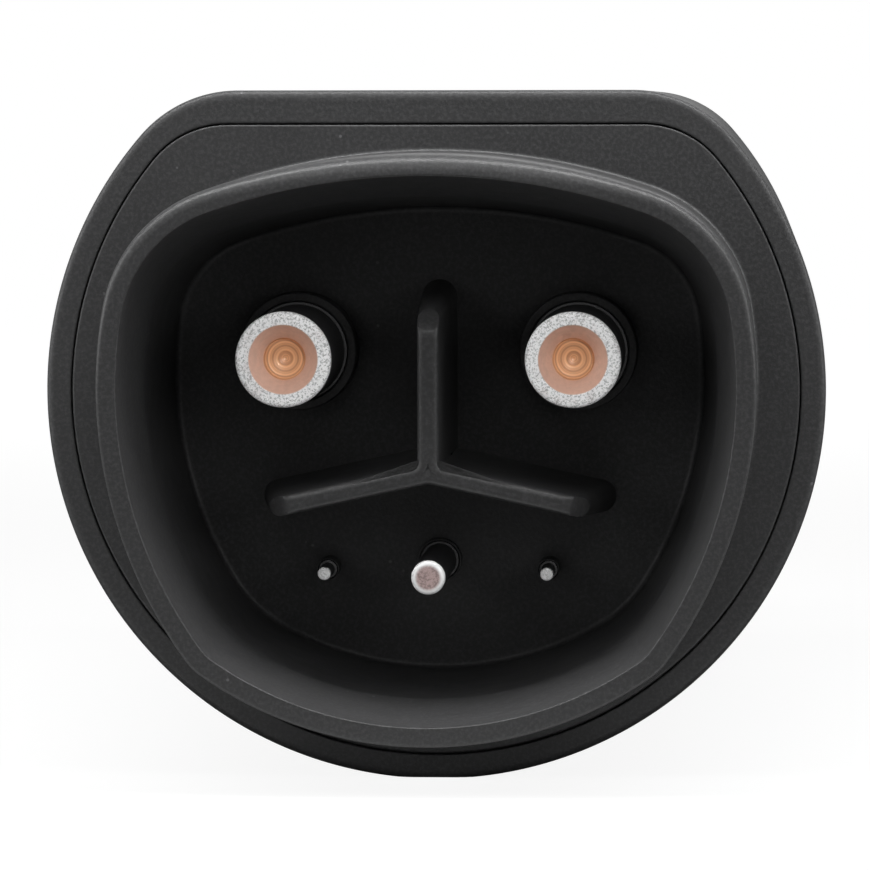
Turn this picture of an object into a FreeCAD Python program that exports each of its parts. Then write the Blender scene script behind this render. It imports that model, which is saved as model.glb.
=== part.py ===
import FreeCAD, Part

"""A rigid adapter for charging an electric vehicle.

The round body has a flat top. The inlet end faces -Y: a raised shroud around a deep recess with two
tubular power pins, a ground pin and two signal pins. The plug end faces +Y: a round nose with five
socket contacts and a latch hook above it. Inside, four long screws clamp inlet, frame, body and plug.
Units are millimetres. X runs across, Y from inlet to plug, Z up. The origin is under the middle.
"""

import math
import os

# Body
body_margin = 11.25
flat_cut = 7.65
foot_flat_depth = 0.15
corner_radius = 11.0
shell_length = 101.4
shell_wall = 2.6
top_extra = 0.7
rim_width = 2.1
rim_chamfer = 0.7
parting_gap = 0.25
plate_thickness = 3.0
gasket_thickness = 0.8
gasket_margin = 0.3
ledge_width = 4.5
ledge_length = 3.0
slide_gap = 0.2

# Shroud outline: its distance inside the body's outline, and how far the arcs' centres lie past the axis
shroud_height = 15.6
shroud_draft = 0.3
shroud_top_margin = 5.0
shroud_side_margin = 5.95
shroud_bottom_margin = 4.45
shroud_top_centre = 36.5
shroud_side_centre = 11.3
shroud_side_rise = 1.0
shroud_bottom_centre = 3.8
shroud_upper_corner = 12.5
shroud_lower_corner = 5.5

# Lip, bevel and recess of the shroud
lip_round = 0.6
lip_land = 1.3
lip_top_extra = 0.6
bevel_inset = 3.5
bevel_depth = 8.2
recess_depth = 23.5
recess_draft = 0.8
recess_wall = 2.2
recess_upper_corner = 9.0
recess_lower_corner = 13.0
floor_thickness = 5.5
back_flange = 3.0

# Rib in the recess, shaped like a Y turned over
rib_front_depth = 4.5
rib_joint_height = -6.4
rib_bar_length = 14.5
rib_bar_width = 1.85
rib_arm_length = 14.3
rib_arm_width = 1.5
rib_arm_fall = 12.4
rib_draft = 0.65
rib_end_slope = 3.1
rib_chamfer = 0.35

# Pins at the inlet
power_pin_radius = 4.0
power_pin_spread = 12.04
power_pin_height = 3.15
power_bore_radius = 1.75
power_bore_depth = 14.0
power_cone_radius = 2.9
power_cone_depth = 1.7
power_pin_round = 0.35
power_collar_radius = 5.06
ground_pin_radius = 1.415
ground_pin_height = -15.0
ground_collar_radius = 1.9
signal_pin_radius = 0.56
signal_pin_spread = 9.48
signal_pin_height = -15.6
signal_collar_radius = 0.95
long_pin_depth = 4.5
signal_pin_depth = 15.6
collar_height = 3.2
small_collar_height = 0.6
pin_gap = 0.05
pin_flange_thickness = 2.0
pin_flange_step = 1.5
pin_shank_step = 0.25
pin_tail_length = 12.0
retainer_thickness = 2.5
pin_retainer_inset = 7.0
pin_retainer_corner = 7.0

# Leads and their solder cups
line_lead_radius = 2.6
line_core_radius = 1.9
ground_lead_radius = 1.9
ground_core_radius = 1.2
signal_lead_radius = 0.9
signal_core_radius = 0.5
cup_wall = 0.8
cup_depth = 8.0
lead_straight = 5.0
lead_gap = 0.2

# Plug nose and its contacts
nose_radius = 21.9
nose_length = 33.0
nose_drop = 6.0
nose_chamfer = 1.2
nose_groove_margin = 3.3
nose_groove_width = 1.6
nose_groove_depth = 6.0
key_width = 5.0
key_depth = 1.6
key_length = 14.0
holder_margin = 5.0
holder_length = 15.0
line_socket_spread = 7.85
line_socket_rise = 6.8
line_socket_bore = 1.85
line_socket_wall = 1.15
ground_socket_drop = 10.6
ground_socket_bore = 1.45
ground_socket_wall = 1.05
signal_socket_spread = 10.65
signal_socket_drop = 5.6
signal_socket_bore = 0.8
signal_socket_wall = 0.8
socket_recess = 2.5
socket_bore_depth = 22.0
socket_slot_width = 0.5
socket_slot_length = 9.0
socket_entry_gap = 0.3
socket_tail_length = 11.0
socket_flange_step = 0.8
socket_retainer_margin = 5.9

# Frame between inlet and plug, and its screws
post_radius = 3.0
post_margin = 7.95
side_post_angle = -11.4
top_post_angle = 35.2
tie_radius = 1.5
tie_head_radius = 2.5
tie_head_height = 2.4
tie_engagement = 4.5
tie_boss_length = 5.0
screw_gap = 0.1
bulkhead_thickness = 4.0
small_screw_radius = 1.0
small_head_radius = 2.0
small_head_height = 1.3
small_screw_length = 5.0
pin_screw_top = -1.0
pin_screw_margin = 10.2
pin_screw_drop = 8.0
socket_screw_margin = 8.5
socket_screw_rise = 1.0
drive_width = 1.2
drive_depth = 0.7

# Latch
latch_top_gap = 0.4
pad_thickness = 3.2
pad_half_width = 9.0
arm_half_width = 6.5
arm_thickness = 4.2
pivot_from_rear = 11.0
pivot_drop = 5.9
pivot_radius = 1.25
pivot_boss_radius = 2.5
pad_length = 24.8
hook_reach = 26.5
hook_length = 5.5
hook_drop = 2.8
grip_count = 5
grip_width = 0.9
grip_depth = 0.6
grip_pitch = 2.4
channel_gap = 0.6
channel_front_gap = 1.2
carrier_floor = 1.6
carrier_wall = 1.8
carrier_depth = 8.2
carrier_ear = 5.0
finger_from_pivot = 14.0
finger_width = 3.0
finger_drop = 4.0
plunger_radius = 1.2
plunger_length = 6.3
plunger_gap = 0.2
spring_from_pivot = 20.0
spring_radius = 2.6
spring_wire = 0.4
spring_turns = 4
spring_peg_radius = 1.6
spring_peg_height = 1.6
spring_gap = 0.1
spring_wire_sides = 4
latch_travel_degrees = 7.0
pivot_running_gap = 0.08
carrier_screw_bite = 2.3

# Circuit board with the latch switch
board_width = 28.0
board_length = 18.0
board_thickness = 1.6
board_from_frame = 2.0
board_end_gap = 0.5
board_drop = 17.5
board_seat = 2.2
rail_width = 3.0
rail_height = 1.6
switch_width = 12.8
switch_depth = 6.5
switch_height = 5.8
resistor_length = 3.2
resistor_width = 1.6
resistor_height = 0.6
resistor_spread = 10.0
board_screw_radius = 0.8
board_head_radius = 1.6
board_head_height = 1.0
jumper_radius = 0.4
jumper_offset = 0.65

# Sizes that follow from the plug's nose and the body around it
shell_radius = nose_radius + body_margin
flat_height = shell_radius - flat_cut
shroud_top = flat_height - shroud_top_margin
shroud_half_width = shell_radius - shroud_side_margin
shroud_bottom = shell_radius - shroud_bottom_margin
shroud_top_radius = shroud_top + shroud_top_centre
shroud_side_radius = shroud_half_width + shroud_side_centre
shroud_bottom_radius = shroud_bottom + shroud_bottom_centre
post_circle = shell_radius - post_margin
nose_groove_radius = nose_radius - nose_groove_margin
holder_radius = nose_radius - holder_margin
socket_retainer_radius = nose_radius - socket_retainer_margin

# Heights above the ground and places along the length
axis_z = shell_radius - foot_flat_depth
top_z = axis_z + flat_height
total_length = shroud_height + shell_length + nose_length
lip_y = -total_length / 2
face_y = lip_y + shroud_height
rear_y = face_y + shell_length
nose_y = rear_y + nose_length
nose_z = axis_z - nose_drop
floor_y = lip_y + recess_depth
back_y = floor_y + floor_thickness
plug_seat_y = rear_y - plate_thickness
holder_y = plug_seat_y - holder_length
frame_end_y = rear_y - plate_thickness - ledge_length
carrier_end_y = frame_end_y - gasket_thickness
lever_top_z = top_z - latch_top_gap
pad_under_z = lever_top_z - pad_thickness
arm_under_z = lever_top_z - arm_thickness
pivot_y = rear_y - pivot_from_rear
pivot_z = top_z - pivot_drop
shell_inner_top_z = top_z - shell_wall - top_extra
carrier_floor_z = shell_inner_top_z - carrier_depth + carrier_floor
channel_y = pivot_y - pad_length - channel_front_gap
channel_half_width = pad_half_width + channel_gap
finger_z = pad_under_z - finger_drop
finger_y = pivot_y - finger_from_pivot
board_y = holder_y - retainer_thickness - board_end_gap - board_length
board_z = top_z - board_drop
bulkhead_y = board_y - board_from_frame - bulkhead_thickness

# The pins: radius, depth of the tip, collar radius, collar height, radius of the wire's core
power_pin = (power_pin_radius, long_pin_depth, power_collar_radius, collar_height, line_core_radius)
ground_pin = (ground_pin_radius, long_pin_depth, ground_collar_radius, small_collar_height,
              ground_core_radius)
signal_pin = (signal_pin_radius, signal_pin_depth, signal_collar_radius, collar_height, signal_core_radius)
power_z = axis_z + power_pin_height
ground_z = axis_z + ground_pin_height
signal_z = axis_z + signal_pin_height
inlet_pins = {
    "power_pin_left": (-power_pin_spread, power_z, power_pin),
    "power_pin_right": (power_pin_spread, power_z, power_pin),
    "ground_pin": (0.0, ground_z, ground_pin),
    "pilot_pin": (-signal_pin_spread, signal_z, signal_pin),
    "proximity_pin": (signal_pin_spread, signal_z, signal_pin),
}

# The sockets: bore radius, wall and the radius of the wire's core
line_socket = (line_socket_bore, line_socket_wall, line_core_radius)
ground_socket = (ground_socket_bore, ground_socket_wall, ground_core_radius)
signal_socket = (signal_socket_bore, signal_socket_wall, signal_core_radius)
line_socket_z = nose_z + line_socket_rise
ground_socket_z = nose_z - ground_socket_drop
signal_socket_z = nose_z - signal_socket_drop
plug_sockets = {
    "line_socket_left": (-line_socket_spread, line_socket_z, line_socket),
    "line_socket_right": (line_socket_spread, line_socket_z, line_socket),
    "ground_socket": (0.0, ground_socket_z, ground_socket),
    "pilot_socket": (-signal_socket_spread, signal_socket_z, signal_socket),
    "proximity_socket": (signal_socket_spread, signal_socket_z, signal_socket),
}
leads = {
    "line_lead_left": ("power_pin_left", "line_socket_left", line_lead_radius),
    "line_lead_right": ("power_pin_right", "line_socket_right", line_lead_radius),
    "ground_lead": ("ground_pin", "ground_socket", ground_lead_radius),
    "pilot_lead": ("pilot_pin", "pilot_socket", signal_lead_radius),
    "proximity_lead": ("proximity_pin", "proximity_socket", signal_lead_radius),
}
posts = [
    (side * post_circle * math.cos(math.radians(angle)), axis_z + post_circle * math.sin(math.radians(angle)))
    for angle in (side_post_angle, top_post_angle)
    for side in (-1, 1)
]
pin_screw_spread = shroud_half_width - pin_screw_margin
pin_screw_places = [
    (0.0, axis_z + pin_screw_top),
    (-pin_screw_spread, axis_z - pin_screw_drop),
    (pin_screw_spread, axis_z - pin_screw_drop),
]
socket_screw_spread = nose_radius - socket_screw_margin
socket_screw_places = [
    (0.0, nose_z),
    (-socket_screw_spread, nose_z + socket_screw_rise),
    (socket_screw_spread, nose_z + socket_screw_rise),
]


def at(x, y, z):
    return FreeCAD.Vector(x, y, z)


def solid_of(shape):
    """The one solid in a boolean result, with its split faces joined again."""
    cleaned = shape.removeSplitter()
    if len(cleaned.Solids) != 1:
        raise ValueError("expected one solid, found %d" % len(cleaned.Solids))
    return cleaned.Solids[0]


def cylinder(radius, start_y, end_y, x, z):
    """A cylinder along Y."""
    return Part.makeCylinder(radius, end_y - start_y, at(x, start_y, z), at(0, 1, 0))


def upright(radius, low_z, high_z, x, y):
    """A cylinder along Z."""
    return Part.makeCylinder(radius, high_z - low_z, at(x, y, low_z))


def crosswise(radius, half_length, y, z):
    """A cylinder along X, centred on the middle plane."""
    return Part.makeCylinder(radius, 2 * half_length, at(-half_length, y, z), at(1, 0, 0))


def block(x0, x1, y0, y1, z0, z1):
    return Part.makeBox(x1 - x0, y1 - y0, z1 - z0, at(x0, y0, z0))


def turned(profile, x, z):
    """A turned piece about an axis along Y, from (radius, y) points of its half section."""
    corners = [at(x + radius, y, z) for radius, y in profile]
    face = Part.Face(Part.makePolygon(corners + corners[:1]))
    return face.revolve(at(x, 0, z), at(0, 1, 0), 360)


def prism(wire, length):
    return Part.Face(wire).extrude(at(0, length, 0))


def flat_top_outline(y, inset):
    """The body's outline moved inwards: a circle cut by a flat top, with rounded corners."""
    top_inset = inset + (top_extra if inset > 0 else 0.0)
    radius = shell_radius - inset
    flat = flat_height - top_inset
    corner = corner_radius - top_inset
    centre_x = math.sqrt((radius - corner) ** 2 - (flat - corner) ** 2)
    scale = radius / (radius - corner)
    touch = (centre_x * scale, (flat - corner) * scale)
    half = math.atan2(touch[0], touch[1]) / 2
    middle = (centre_x + corner * math.sin(half), flat - corner + corner * math.cos(half))

    def place(x, height):
        return at(x, y, axis_z + height)

    edges = [
        Part.LineSegment(place(-centre_x, flat), place(centre_x, flat)),
        Part.Arc(place(centre_x, flat), place(*middle), place(*touch)),
        Part.Arc(place(*touch), place(0, -radius), place(-touch[0], touch[1])),
        Part.Arc(place(-touch[0], touch[1]), place(-middle[0], middle[1]), place(-centre_x, flat)),
    ]
    return Part.Wire([edge.toShape() for edge in edges])


def far_meeting(first, first_radius, second, second_radius):
    """Where two circles meet, on the side of the larger x."""
    dx = second[0] - first[0]
    dz = second[1] - first[1]
    distance = math.hypot(dx, dz)
    along = (first_radius ** 2 - second_radius ** 2 + distance ** 2) / (2 * distance)
    across = math.sqrt(first_radius ** 2 - along ** 2)
    middle = (first[0] + along * dx / distance, first[1] + along * dz / distance)
    meetings = [
        (middle[0] + sign * across * dz / distance, middle[1] - sign * across * dx / distance)
        for sign in (-1, 1)
    ]
    return max(meetings)


def touching_point(one, other):
    """Where two circles (x, z, radius) touch, the smaller one inside the larger one."""
    large, small = sorted((one, other), key=lambda circle: -circle[2])
    scale = large[2] / (large[2] - small[2])
    return (large[0] + (small[0] - large[0]) * scale, large[1] + (small[1] - large[1]) * scale)


def loop_of_arcs(y, circles):
    """A closed smooth outline of arcs on circles that touch in turn."""
    edges = []
    for index, circle in enumerate(circles):
        start = touching_point(circles[index - 1], circle)
        end = touching_point(circle, circles[(index + 1) % len(circles)])
        lean = (start[0] + end[0] - 2 * circle[0], start[1] + end[1] - 2 * circle[1])
        reach = circle[2] / math.hypot(*lean)
        middle = (circle[0] + lean[0] * reach, circle[1] + lean[1] * reach)
        points = [at(x, y, axis_z + z) for x, z in (start, middle, end)]
        edges.append(Part.Arc(*points).toShape())
    return Part.Wire(edges)


def shroud_outline(y, inset, more_at_top=0.0, corners=None):
    """The shroud's outline moved inwards: wide above, narrower below, of eight arcs."""
    top = (0.0, shroud_top - shroud_top_radius, shroud_top_radius - inset - more_at_top)
    side_x = shroud_half_width - shroud_side_radius
    side = (side_x, shroud_side_rise, shroud_side_radius - inset)
    bottom = (0.0, shroud_bottom_radius - shroud_bottom, shroud_bottom_radius - inset)
    upper, lower = corners or (shroud_upper_corner - inset, shroud_lower_corner - inset)
    upper_centre = far_meeting(top[:2], top[2] - upper, side[:2], side[2] - upper)
    lower_centre = far_meeting(side[:2], side[2] - lower, bottom[:2], bottom[2] - lower)
    right = [(*upper_centre, upper), side, (*lower_centre, lower)]
    left = [(-x, z, radius) for x, z, radius in reversed(right)]
    return loop_of_arcs(y, [top] + right + [bottom] + left)


def edges_at(shape, y):
    """The edges that lie in one plane across the length."""
    return [edge for edge in shape.Edges if all(abs(v.Y - y) < 1e-4 for v in edge.Vertexes)]


def screw(head_radius, head_height, radius, length, x, z, seat_y, towards=-1):
    """A pan-head screw along Y with a square drive. Its shank runs from its seat, to -Y or +Y."""
    head_y = seat_y - towards * head_height
    profile = [(0, seat_y + towards * length), (radius, seat_y + towards * length), (radius, seat_y)]
    profile += [(head_radius, seat_y), (head_radius, head_y), (0, head_y)]
    low, high = sorted((head_y, head_y + towards * drive_depth))
    half = drive_width / 2
    return turned(profile, x, z).cut(block(x - half, x + half, low, high, z - half, z + half))


def housing_shell():
    """The one-piece body: a tube with a flat top, a seat ledge at each end and the latch's channel.

    A narrow flat underneath keeps it from rolling.
    """
    body = prism(flat_top_outline(face_y, 0.0), shell_length)
    body = body.cut(block(-corner_radius, corner_radius, face_y, rear_y, -foot_flat_depth, 0.0))
    body = body.makeChamfer(rim_chamfer, edges_at(body, face_y) + edges_at(body, rear_y))
    pocket = plate_thickness + gasket_thickness
    bore_y = face_y + pocket + ledge_length
    body = body.cut(prism(flat_top_outline(face_y, rim_width), pocket))
    body = body.cut(prism(flat_top_outline(rear_y - pocket, rim_width), pocket))
    body = body.cut(prism(flat_top_outline(face_y, ledge_width), shell_length))
    body = body.cut(prism(flat_top_outline(bore_y, shell_wall), rear_y - pocket - ledge_length - bore_y))
    body = body.cut(block(-channel_half_width, channel_half_width, channel_y, rear_y,
                          axis_z + flat_height - ledge_width - 2 * top_extra, top_z))
    for x, y in carrier_screw_places():
        body = body.cut(upright(small_screw_radius + screw_gap, shell_inner_top_z,
                                shell_inner_top_z + carrier_screw_bite + screw_gap, x, y))
    return solid_of(body)


def recess_outline(y, inset):
    """The recess's outline, with larger lower corners than the shroud has."""
    corners = (recess_upper_corner - (inset - bevel_inset), recess_lower_corner - (inset - bevel_inset))
    return shroud_outline(y, inset, lip_top_extra, corners)


def rib_arm(angle, length, width):
    """One arm of the rib, at an angle from straight up: tapered sides, a round end, a slope at its tip."""
    origin = (0.0, axis_z + rib_joint_height)
    along = (math.sin(math.radians(angle)), math.cos(math.radians(angle)))
    across = (along[1], -along[0])
    half = width / 2
    straight = length - half
    front_y = lip_y + rib_front_depth
    side = [(half - rib_chamfer, front_y), (half, front_y + rib_chamfer), (half + rib_draft, floor_y)]

    def place(reach, sideways, y):
        return at(origin[0] + reach * along[0] + sideways * across[0], y,
                  origin[1] + reach * along[1] + sideways * across[1])

    section = [place(0, offset, y) for offset, y in side]
    section += [place(0, -offset, y) for offset, y in reversed(side)]
    bar = Part.Face(Part.makePolygon(section + section[:1]))
    bar = bar.extrude(place(straight, 0, 0) - place(0, 0, 0))
    tip = place(straight, 0, 0)
    arm = bar.fuse(turned([(0, front_y)] + side + [(0, floor_y)], tip.x, tip.z))
    slope = [(length - rib_end_slope, front_y), (length + rib_draft, front_y),
             (length + rib_draft, front_y + rib_end_slope + rib_draft)]
    wedge = [place(reach, -width, y) for reach, y in slope]
    across_all = place(0, width, 0) - place(0, -width, 0)
    return arm.cut(Part.Face(Part.makePolygon(wedge + wedge[:1])).extrude(across_all))


def rib():
    """The Y-shaped rib between the pins."""
    arms = rib_arm(0.0, rib_bar_length, rib_bar_width)
    for side in (-1, 1):
        arms = arms.fuse(rib_arm(side * (90.0 + rib_arm_fall), rib_arm_length, rib_arm_width))
    return arms.removeSplitter()


def inlet_moulding():
    """Face plate, shroud, recess, rib and collars in one moulding."""
    shroud = Part.makeLoft([shroud_outline(face_y, -shroud_draft), shroud_outline(lip_y, 0.0)], True, True)
    shroud = shroud.makeFillet(lip_round, edges_at(shroud, lip_y))
    plate = prism(flat_top_outline(face_y, rim_width + parting_gap), plate_thickness)
    cup = prism(recess_outline(face_y, bevel_inset + recess_draft - recess_wall), back_y - face_y)
    flange = prism(flat_top_outline(back_y - back_flange, ledge_width + slide_gap), back_flange)
    body = plate.fuse([shroud, cup, flange])
    for x, z in posts:
        body = body.fuse(cylinder(post_radius, back_y - tie_boss_length, back_y, x, z))
    mouth = recess_outline(lip_y + bevel_depth, bevel_inset)
    bevel = [shroud_outline(lip_y, lip_land, lip_top_extra), mouth]
    recess = [mouth, recess_outline(floor_y, bevel_inset + recess_draft)]
    body = body.cut(Part.makeLoft(bevel, True, True))
    body = body.cut(Part.makeLoft(recess, True, True))
    body = body.fuse(rib())
    for x, z, (radius, _, collar, height, core) in inlet_pins.values():
        body = body.fuse(cylinder(collar, floor_y - height, floor_y + pin_gap, x, z))
    for x, z, (radius, _, collar, height, core) in inlet_pins.values():
        body = body.cut(cylinder(radius + pin_shank_step + pin_gap, floor_y - height, back_y, x, z))
        body = body.cut(cylinder(pin_flange_radius(radius, core) + pin_gap,
                                 back_y - pin_flange_thickness, back_y, x, z))
    for x, z in posts:
        body = body.cut(cylinder(tie_radius + screw_gap, back_y - tie_engagement, back_y, x, z))
    for x, z in pin_screw_places:
        body = body.cut(cylinder(small_screw_radius + screw_gap, pin_screw_tip() - screw_gap, back_y, x, z))
    return solid_of(body)


def tail_radius(core):
    """The outside of a solder cup."""
    return core + pin_gap + cup_wall


def pin_flange_radius(radius, core):
    return max(radius + pin_shank_step, tail_radius(core)) + pin_flange_step


def pin_screw_tip():
    return back_y + retainer_thickness - small_screw_length


def inlet_pin(name):
    """A turned pin with its collar flange and a solder cup at the back."""
    x, z, (radius, depth, _, height, core) = inlet_pins[name]
    tip_y = lip_y + depth
    shank_y = floor_y - height
    shank = radius + pin_shank_step
    tail_y = back_y + retainer_thickness + pin_tail_length
    rounding = min(power_pin_round, radius / 3)
    tail = tail_radius(core)
    flange = pin_flange_radius(radius, core)
    cup_y = tail_y - cup_depth
    if radius == power_pin_radius:
        bore_y = tip_y + power_cone_depth
        bottom_y = bore_y + power_bore_depth
        hollow = [(0, bottom_y + power_bore_radius / 2), (power_bore_radius, bottom_y)]
        hollow += [(power_bore_radius, bore_y), (power_cone_radius, tip_y)]
    else:
        hollow = [(0, tip_y)]
    profile = hollow + [(radius - rounding, tip_y), (radius, tip_y + rounding)]
    profile += [(radius, shank_y), (shank, shank_y), (shank, back_y - pin_flange_thickness)]
    profile += [(flange, back_y - pin_flange_thickness)]
    profile += [(flange, back_y), (tail, back_y), (tail, tail_y)]
    profile += [(core + pin_gap, tail_y), (core + pin_gap, cup_y), (0, cup_y)]
    return turned(profile, x, z)


def inlet_gasket():
    """A flat ring between the face plate and the body's ledge."""
    return gasket(face_y + plate_thickness)


def plug_gasket():
    """The same ring at the plug's end, open where the latch passes."""
    y = plug_seat_y - gasket_thickness
    return solid_of(gasket(y).cut(block(-channel_half_width, channel_half_width, y, plug_seat_y,
                                        arm_under_z - plunger_gap, top_z)))


def gasket(y):
    outer = flat_top_outline(y, rim_width + gasket_margin)
    inner = flat_top_outline(y, ledge_width - gasket_margin)
    return solid_of(prism(outer, gasket_thickness).cut(prism(inner, gasket_thickness)))


def pin_retainer():
    """The plate that holds the pins' flanges in the inlet."""
    corners = (pin_retainer_corner, pin_retainer_corner)
    plate = prism(shroud_outline(back_y, pin_retainer_inset, 0.0, corners), retainer_thickness)
    for x, z, (_, _, _, _, core) in inlet_pins.values():
        plate = plate.cut(cylinder(tail_radius(core) + pin_gap, back_y, back_y + retainer_thickness, x, z))
    for x, z in pin_screw_places:
        plate = plate.cut(cylinder(small_screw_radius + screw_gap, back_y, back_y + retainer_thickness, x, z))
    return solid_of(plate)


def pin_screws():
    seat_y = back_y + retainer_thickness
    return Part.makeCompound([
        screw(small_head_radius, small_head_height, small_screw_radius, small_screw_length, x, z, seat_y)
        for x, z in pin_screw_places
    ])


def core_frame():
    """The inner frame: four hollow posts on a bulkhead, with two rails for the circuit board."""
    body = prism(flat_top_outline(bulkhead_y, ledge_width + slide_gap), bulkhead_thickness)
    for x, z in posts:
        body = body.fuse(cylinder(post_radius, back_y, frame_end_y, x, z))
    inner_x = board_width / 2 - board_seat
    rail_end = board_y + board_length
    for side in (-1, 1):
        low, high = sorted((side * inner_x, side * (inner_x + rail_width)))
        body = body.fuse(block(low, high, bulkhead_y, rail_end, board_z - board_thickness - rail_height,
                               board_z - board_thickness))
    for x, z in posts:
        body = body.cut(cylinder(tie_radius + screw_gap, back_y, frame_end_y, x, z))
    for name, (_, socket, radius) in leads.items():
        x, z, _ = plug_sockets[socket]
        body = body.cut(cylinder(radius + lead_gap, bulkhead_y, bulkhead_y + bulkhead_thickness, x, z))
    for x, y in board_screw_places():
        body = body.cut(upright(board_screw_radius + screw_gap, board_z - board_thickness - rail_height,
                                board_z, x, y))
    return solid_of(body)


def lead(name):
    """A lead from pin to socket: straight, aslant, straight, with bare ends in the cups."""
    pin, socket, radius = leads[name]
    x0, z0, pin_sizes = inlet_pins[pin]
    x1, z1, socket_sizes = plug_sockets[socket]
    core = socket_sizes[2]
    start_y = back_y + retainer_thickness + pin_tail_length
    end_y = socket_tail_y()
    path = Part.makePolygon([at(x0, start_y, z0), at(x0, start_y + lead_straight, z0),
                             at(x1, bulkhead_y - lead_gap, z1), at(x1, end_y, z1)])
    section = Part.Wire([Part.makeCircle(radius, at(x0, start_y, z0), at(0, 1, 0))])
    body = path.makePipeShell([section], True, True, 1)
    body = body.fuse(cylinder(core, start_y - cup_depth + lead_gap, start_y, x0, z0))
    return solid_of(body.fuse(cylinder(core, end_y, end_y + cup_depth - lead_gap, x1, z1)))


def socket_tail_y():
    return holder_y - retainer_thickness - socket_tail_length


def socket_outer(sizes):
    return sizes[0] + sizes[1]


def plug_nose():
    """The plug: end plate, round nose with five contact holes, and the holder behind it."""
    body = prism(flat_top_outline(plug_seat_y, rim_width + parting_gap), plate_thickness)
    nose = turned([(0, plug_seat_y), (nose_radius, plug_seat_y), (nose_radius, nose_y - nose_chamfer),
                   (nose_radius - nose_chamfer, nose_y), (0, nose_y)], 0, nose_z)
    body = body.fuse([nose, cylinder(holder_radius, holder_y, plug_seat_y, 0, nose_z)])
    for x, z in posts:
        body = body.fuse(cylinder(post_radius, frame_end_y, plug_seat_y, x, z))
    groove = cylinder(nose_groove_radius, nose_y - nose_groove_depth, nose_y, 0, nose_z)
    body = body.cut(groove.cut(cylinder(nose_groove_radius - nose_groove_width,
                                        nose_y - nose_groove_depth, nose_y, 0, nose_z)))
    for side in (-1, 1):
        low, high = sorted((side * (nose_radius - key_depth), side * (nose_radius + key_depth)))
        body = body.cut(block(low, high, nose_y - key_length, nose_y,
                              nose_z - key_width / 2, nose_z + key_width / 2))
    for x, z, sizes in plug_sockets.values():
        outer = socket_outer(sizes)
        flange = socket_flange_radius(sizes)
        body = body.cut(cylinder(outer + pin_gap, holder_y, nose_y - socket_recess + pin_gap, x, z))
        body = body.cut(cylinder(flange + pin_gap, holder_y, holder_y + pin_flange_thickness, x, z))
        body = body.cut(cylinder(sizes[0] + socket_entry_gap, nose_y - socket_recess, nose_y, x, z))
    for x, z in posts:
        body = body.cut(cylinder(tie_radius + screw_gap, frame_end_y, rear_y, x, z))
        body = body.cut(cylinder(tie_head_radius + screw_gap, rear_y - tie_head_height, rear_y, x, z))
    for x, z in socket_screw_places:
        body = body.cut(cylinder(small_screw_radius + screw_gap, holder_y,
                                 socket_screw_seat() + small_screw_length + screw_gap, x, z))
    body = body.cut(block(-channel_half_width, channel_half_width, frame_end_y, rear_y,
                          arm_under_z - plunger_gap, top_z))
    return solid_of(body)


def socket_flange_radius(sizes):
    return max(socket_outer(sizes), tail_radius(sizes[2])) + socket_flange_step


def socket_screw_seat():
    return holder_y - retainer_thickness


def plug_socket(name):
    """A turned socket contact, split into four springy fingers at its mouth."""
    x, z, sizes = plug_sockets[name]
    bore, _, core = sizes
    mouth_y = nose_y - socket_recess
    outer = socket_outer(sizes)
    flange = socket_flange_radius(sizes)
    tail = tail_radius(core)
    tail_y = socket_tail_y()
    profile = [(bore, mouth_y), (outer, mouth_y), (outer, holder_y + pin_flange_thickness)]
    profile += [(flange, holder_y + pin_flange_thickness), (flange, holder_y), (tail, holder_y)]
    profile += [(tail, tail_y), (core + pin_gap, tail_y), (core + pin_gap, tail_y + cup_depth)]
    profile += [(0, tail_y + cup_depth), (0, mouth_y - socket_bore_depth)]
    profile += [(bore, mouth_y - socket_bore_depth)]
    contact = turned(profile, x, z)
    half = socket_slot_width / 2
    slot_y = mouth_y - socket_slot_length
    contact = contact.cut(block(x - outer, x + outer, slot_y, mouth_y, z - half, z + half))
    return solid_of(contact.cut(block(x - half, x + half, slot_y, mouth_y, z - outer, z + outer)))


def socket_retainer():
    """The round plate that holds the sockets' flanges in the plug."""
    plate = cylinder(socket_retainer_radius, socket_screw_seat(), holder_y, 0, nose_z)
    for x, z, sizes in plug_sockets.values():
        plate = plate.cut(cylinder(tail_radius(sizes[2]) + pin_gap, socket_screw_seat(), holder_y, x, z))
    for x, z in socket_screw_places:
        plate = plate.cut(cylinder(small_screw_radius + screw_gap, socket_screw_seat(), holder_y, x, z))
    return solid_of(plate)


def socket_screws():
    return Part.makeCompound([
        screw(small_head_radius, small_head_height, small_screw_radius, small_screw_length,
              x, z, socket_screw_seat(), 1)
        for x, z in socket_screw_places
    ])


def tie_screws():
    """Four long screws from the plug's end plate, through the posts, into the inlet moulding."""
    seat_y = rear_y - tie_head_height
    length = seat_y - back_y + tie_engagement - screw_gap
    return Part.makeCompound([
        screw(tie_head_radius, tie_head_height, tie_radius, length, x, z, seat_y) for x, z in posts
    ])


def board_screw_places():
    x = board_width / 2 - board_seat / 2
    y = board_y + board_length - board_head_radius
    return [(-x, y), (x, y)]


def circuit_board():
    """A small board on the frame's rails, under the latch."""
    half = board_width / 2
    board = block(-half, half, board_y, board_y + board_length, board_z - board_thickness, board_z)
    for x, y in board_screw_places():
        board = board.cut(upright(board_screw_radius + screw_gap, board_z - board_thickness, board_z, x, y))
    return solid_of(board)


def board_screws():
    screws = []
    for x, y in board_screw_places():
        shank = upright(board_screw_radius, board_z - board_thickness - rail_height, board_z, x, y)
        screws.append(shank.fuse(upright(board_head_radius, board_z, board_z + board_head_height, x, y)))
    return Part.makeCompound([solid_of(shape) for shape in screws])


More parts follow.
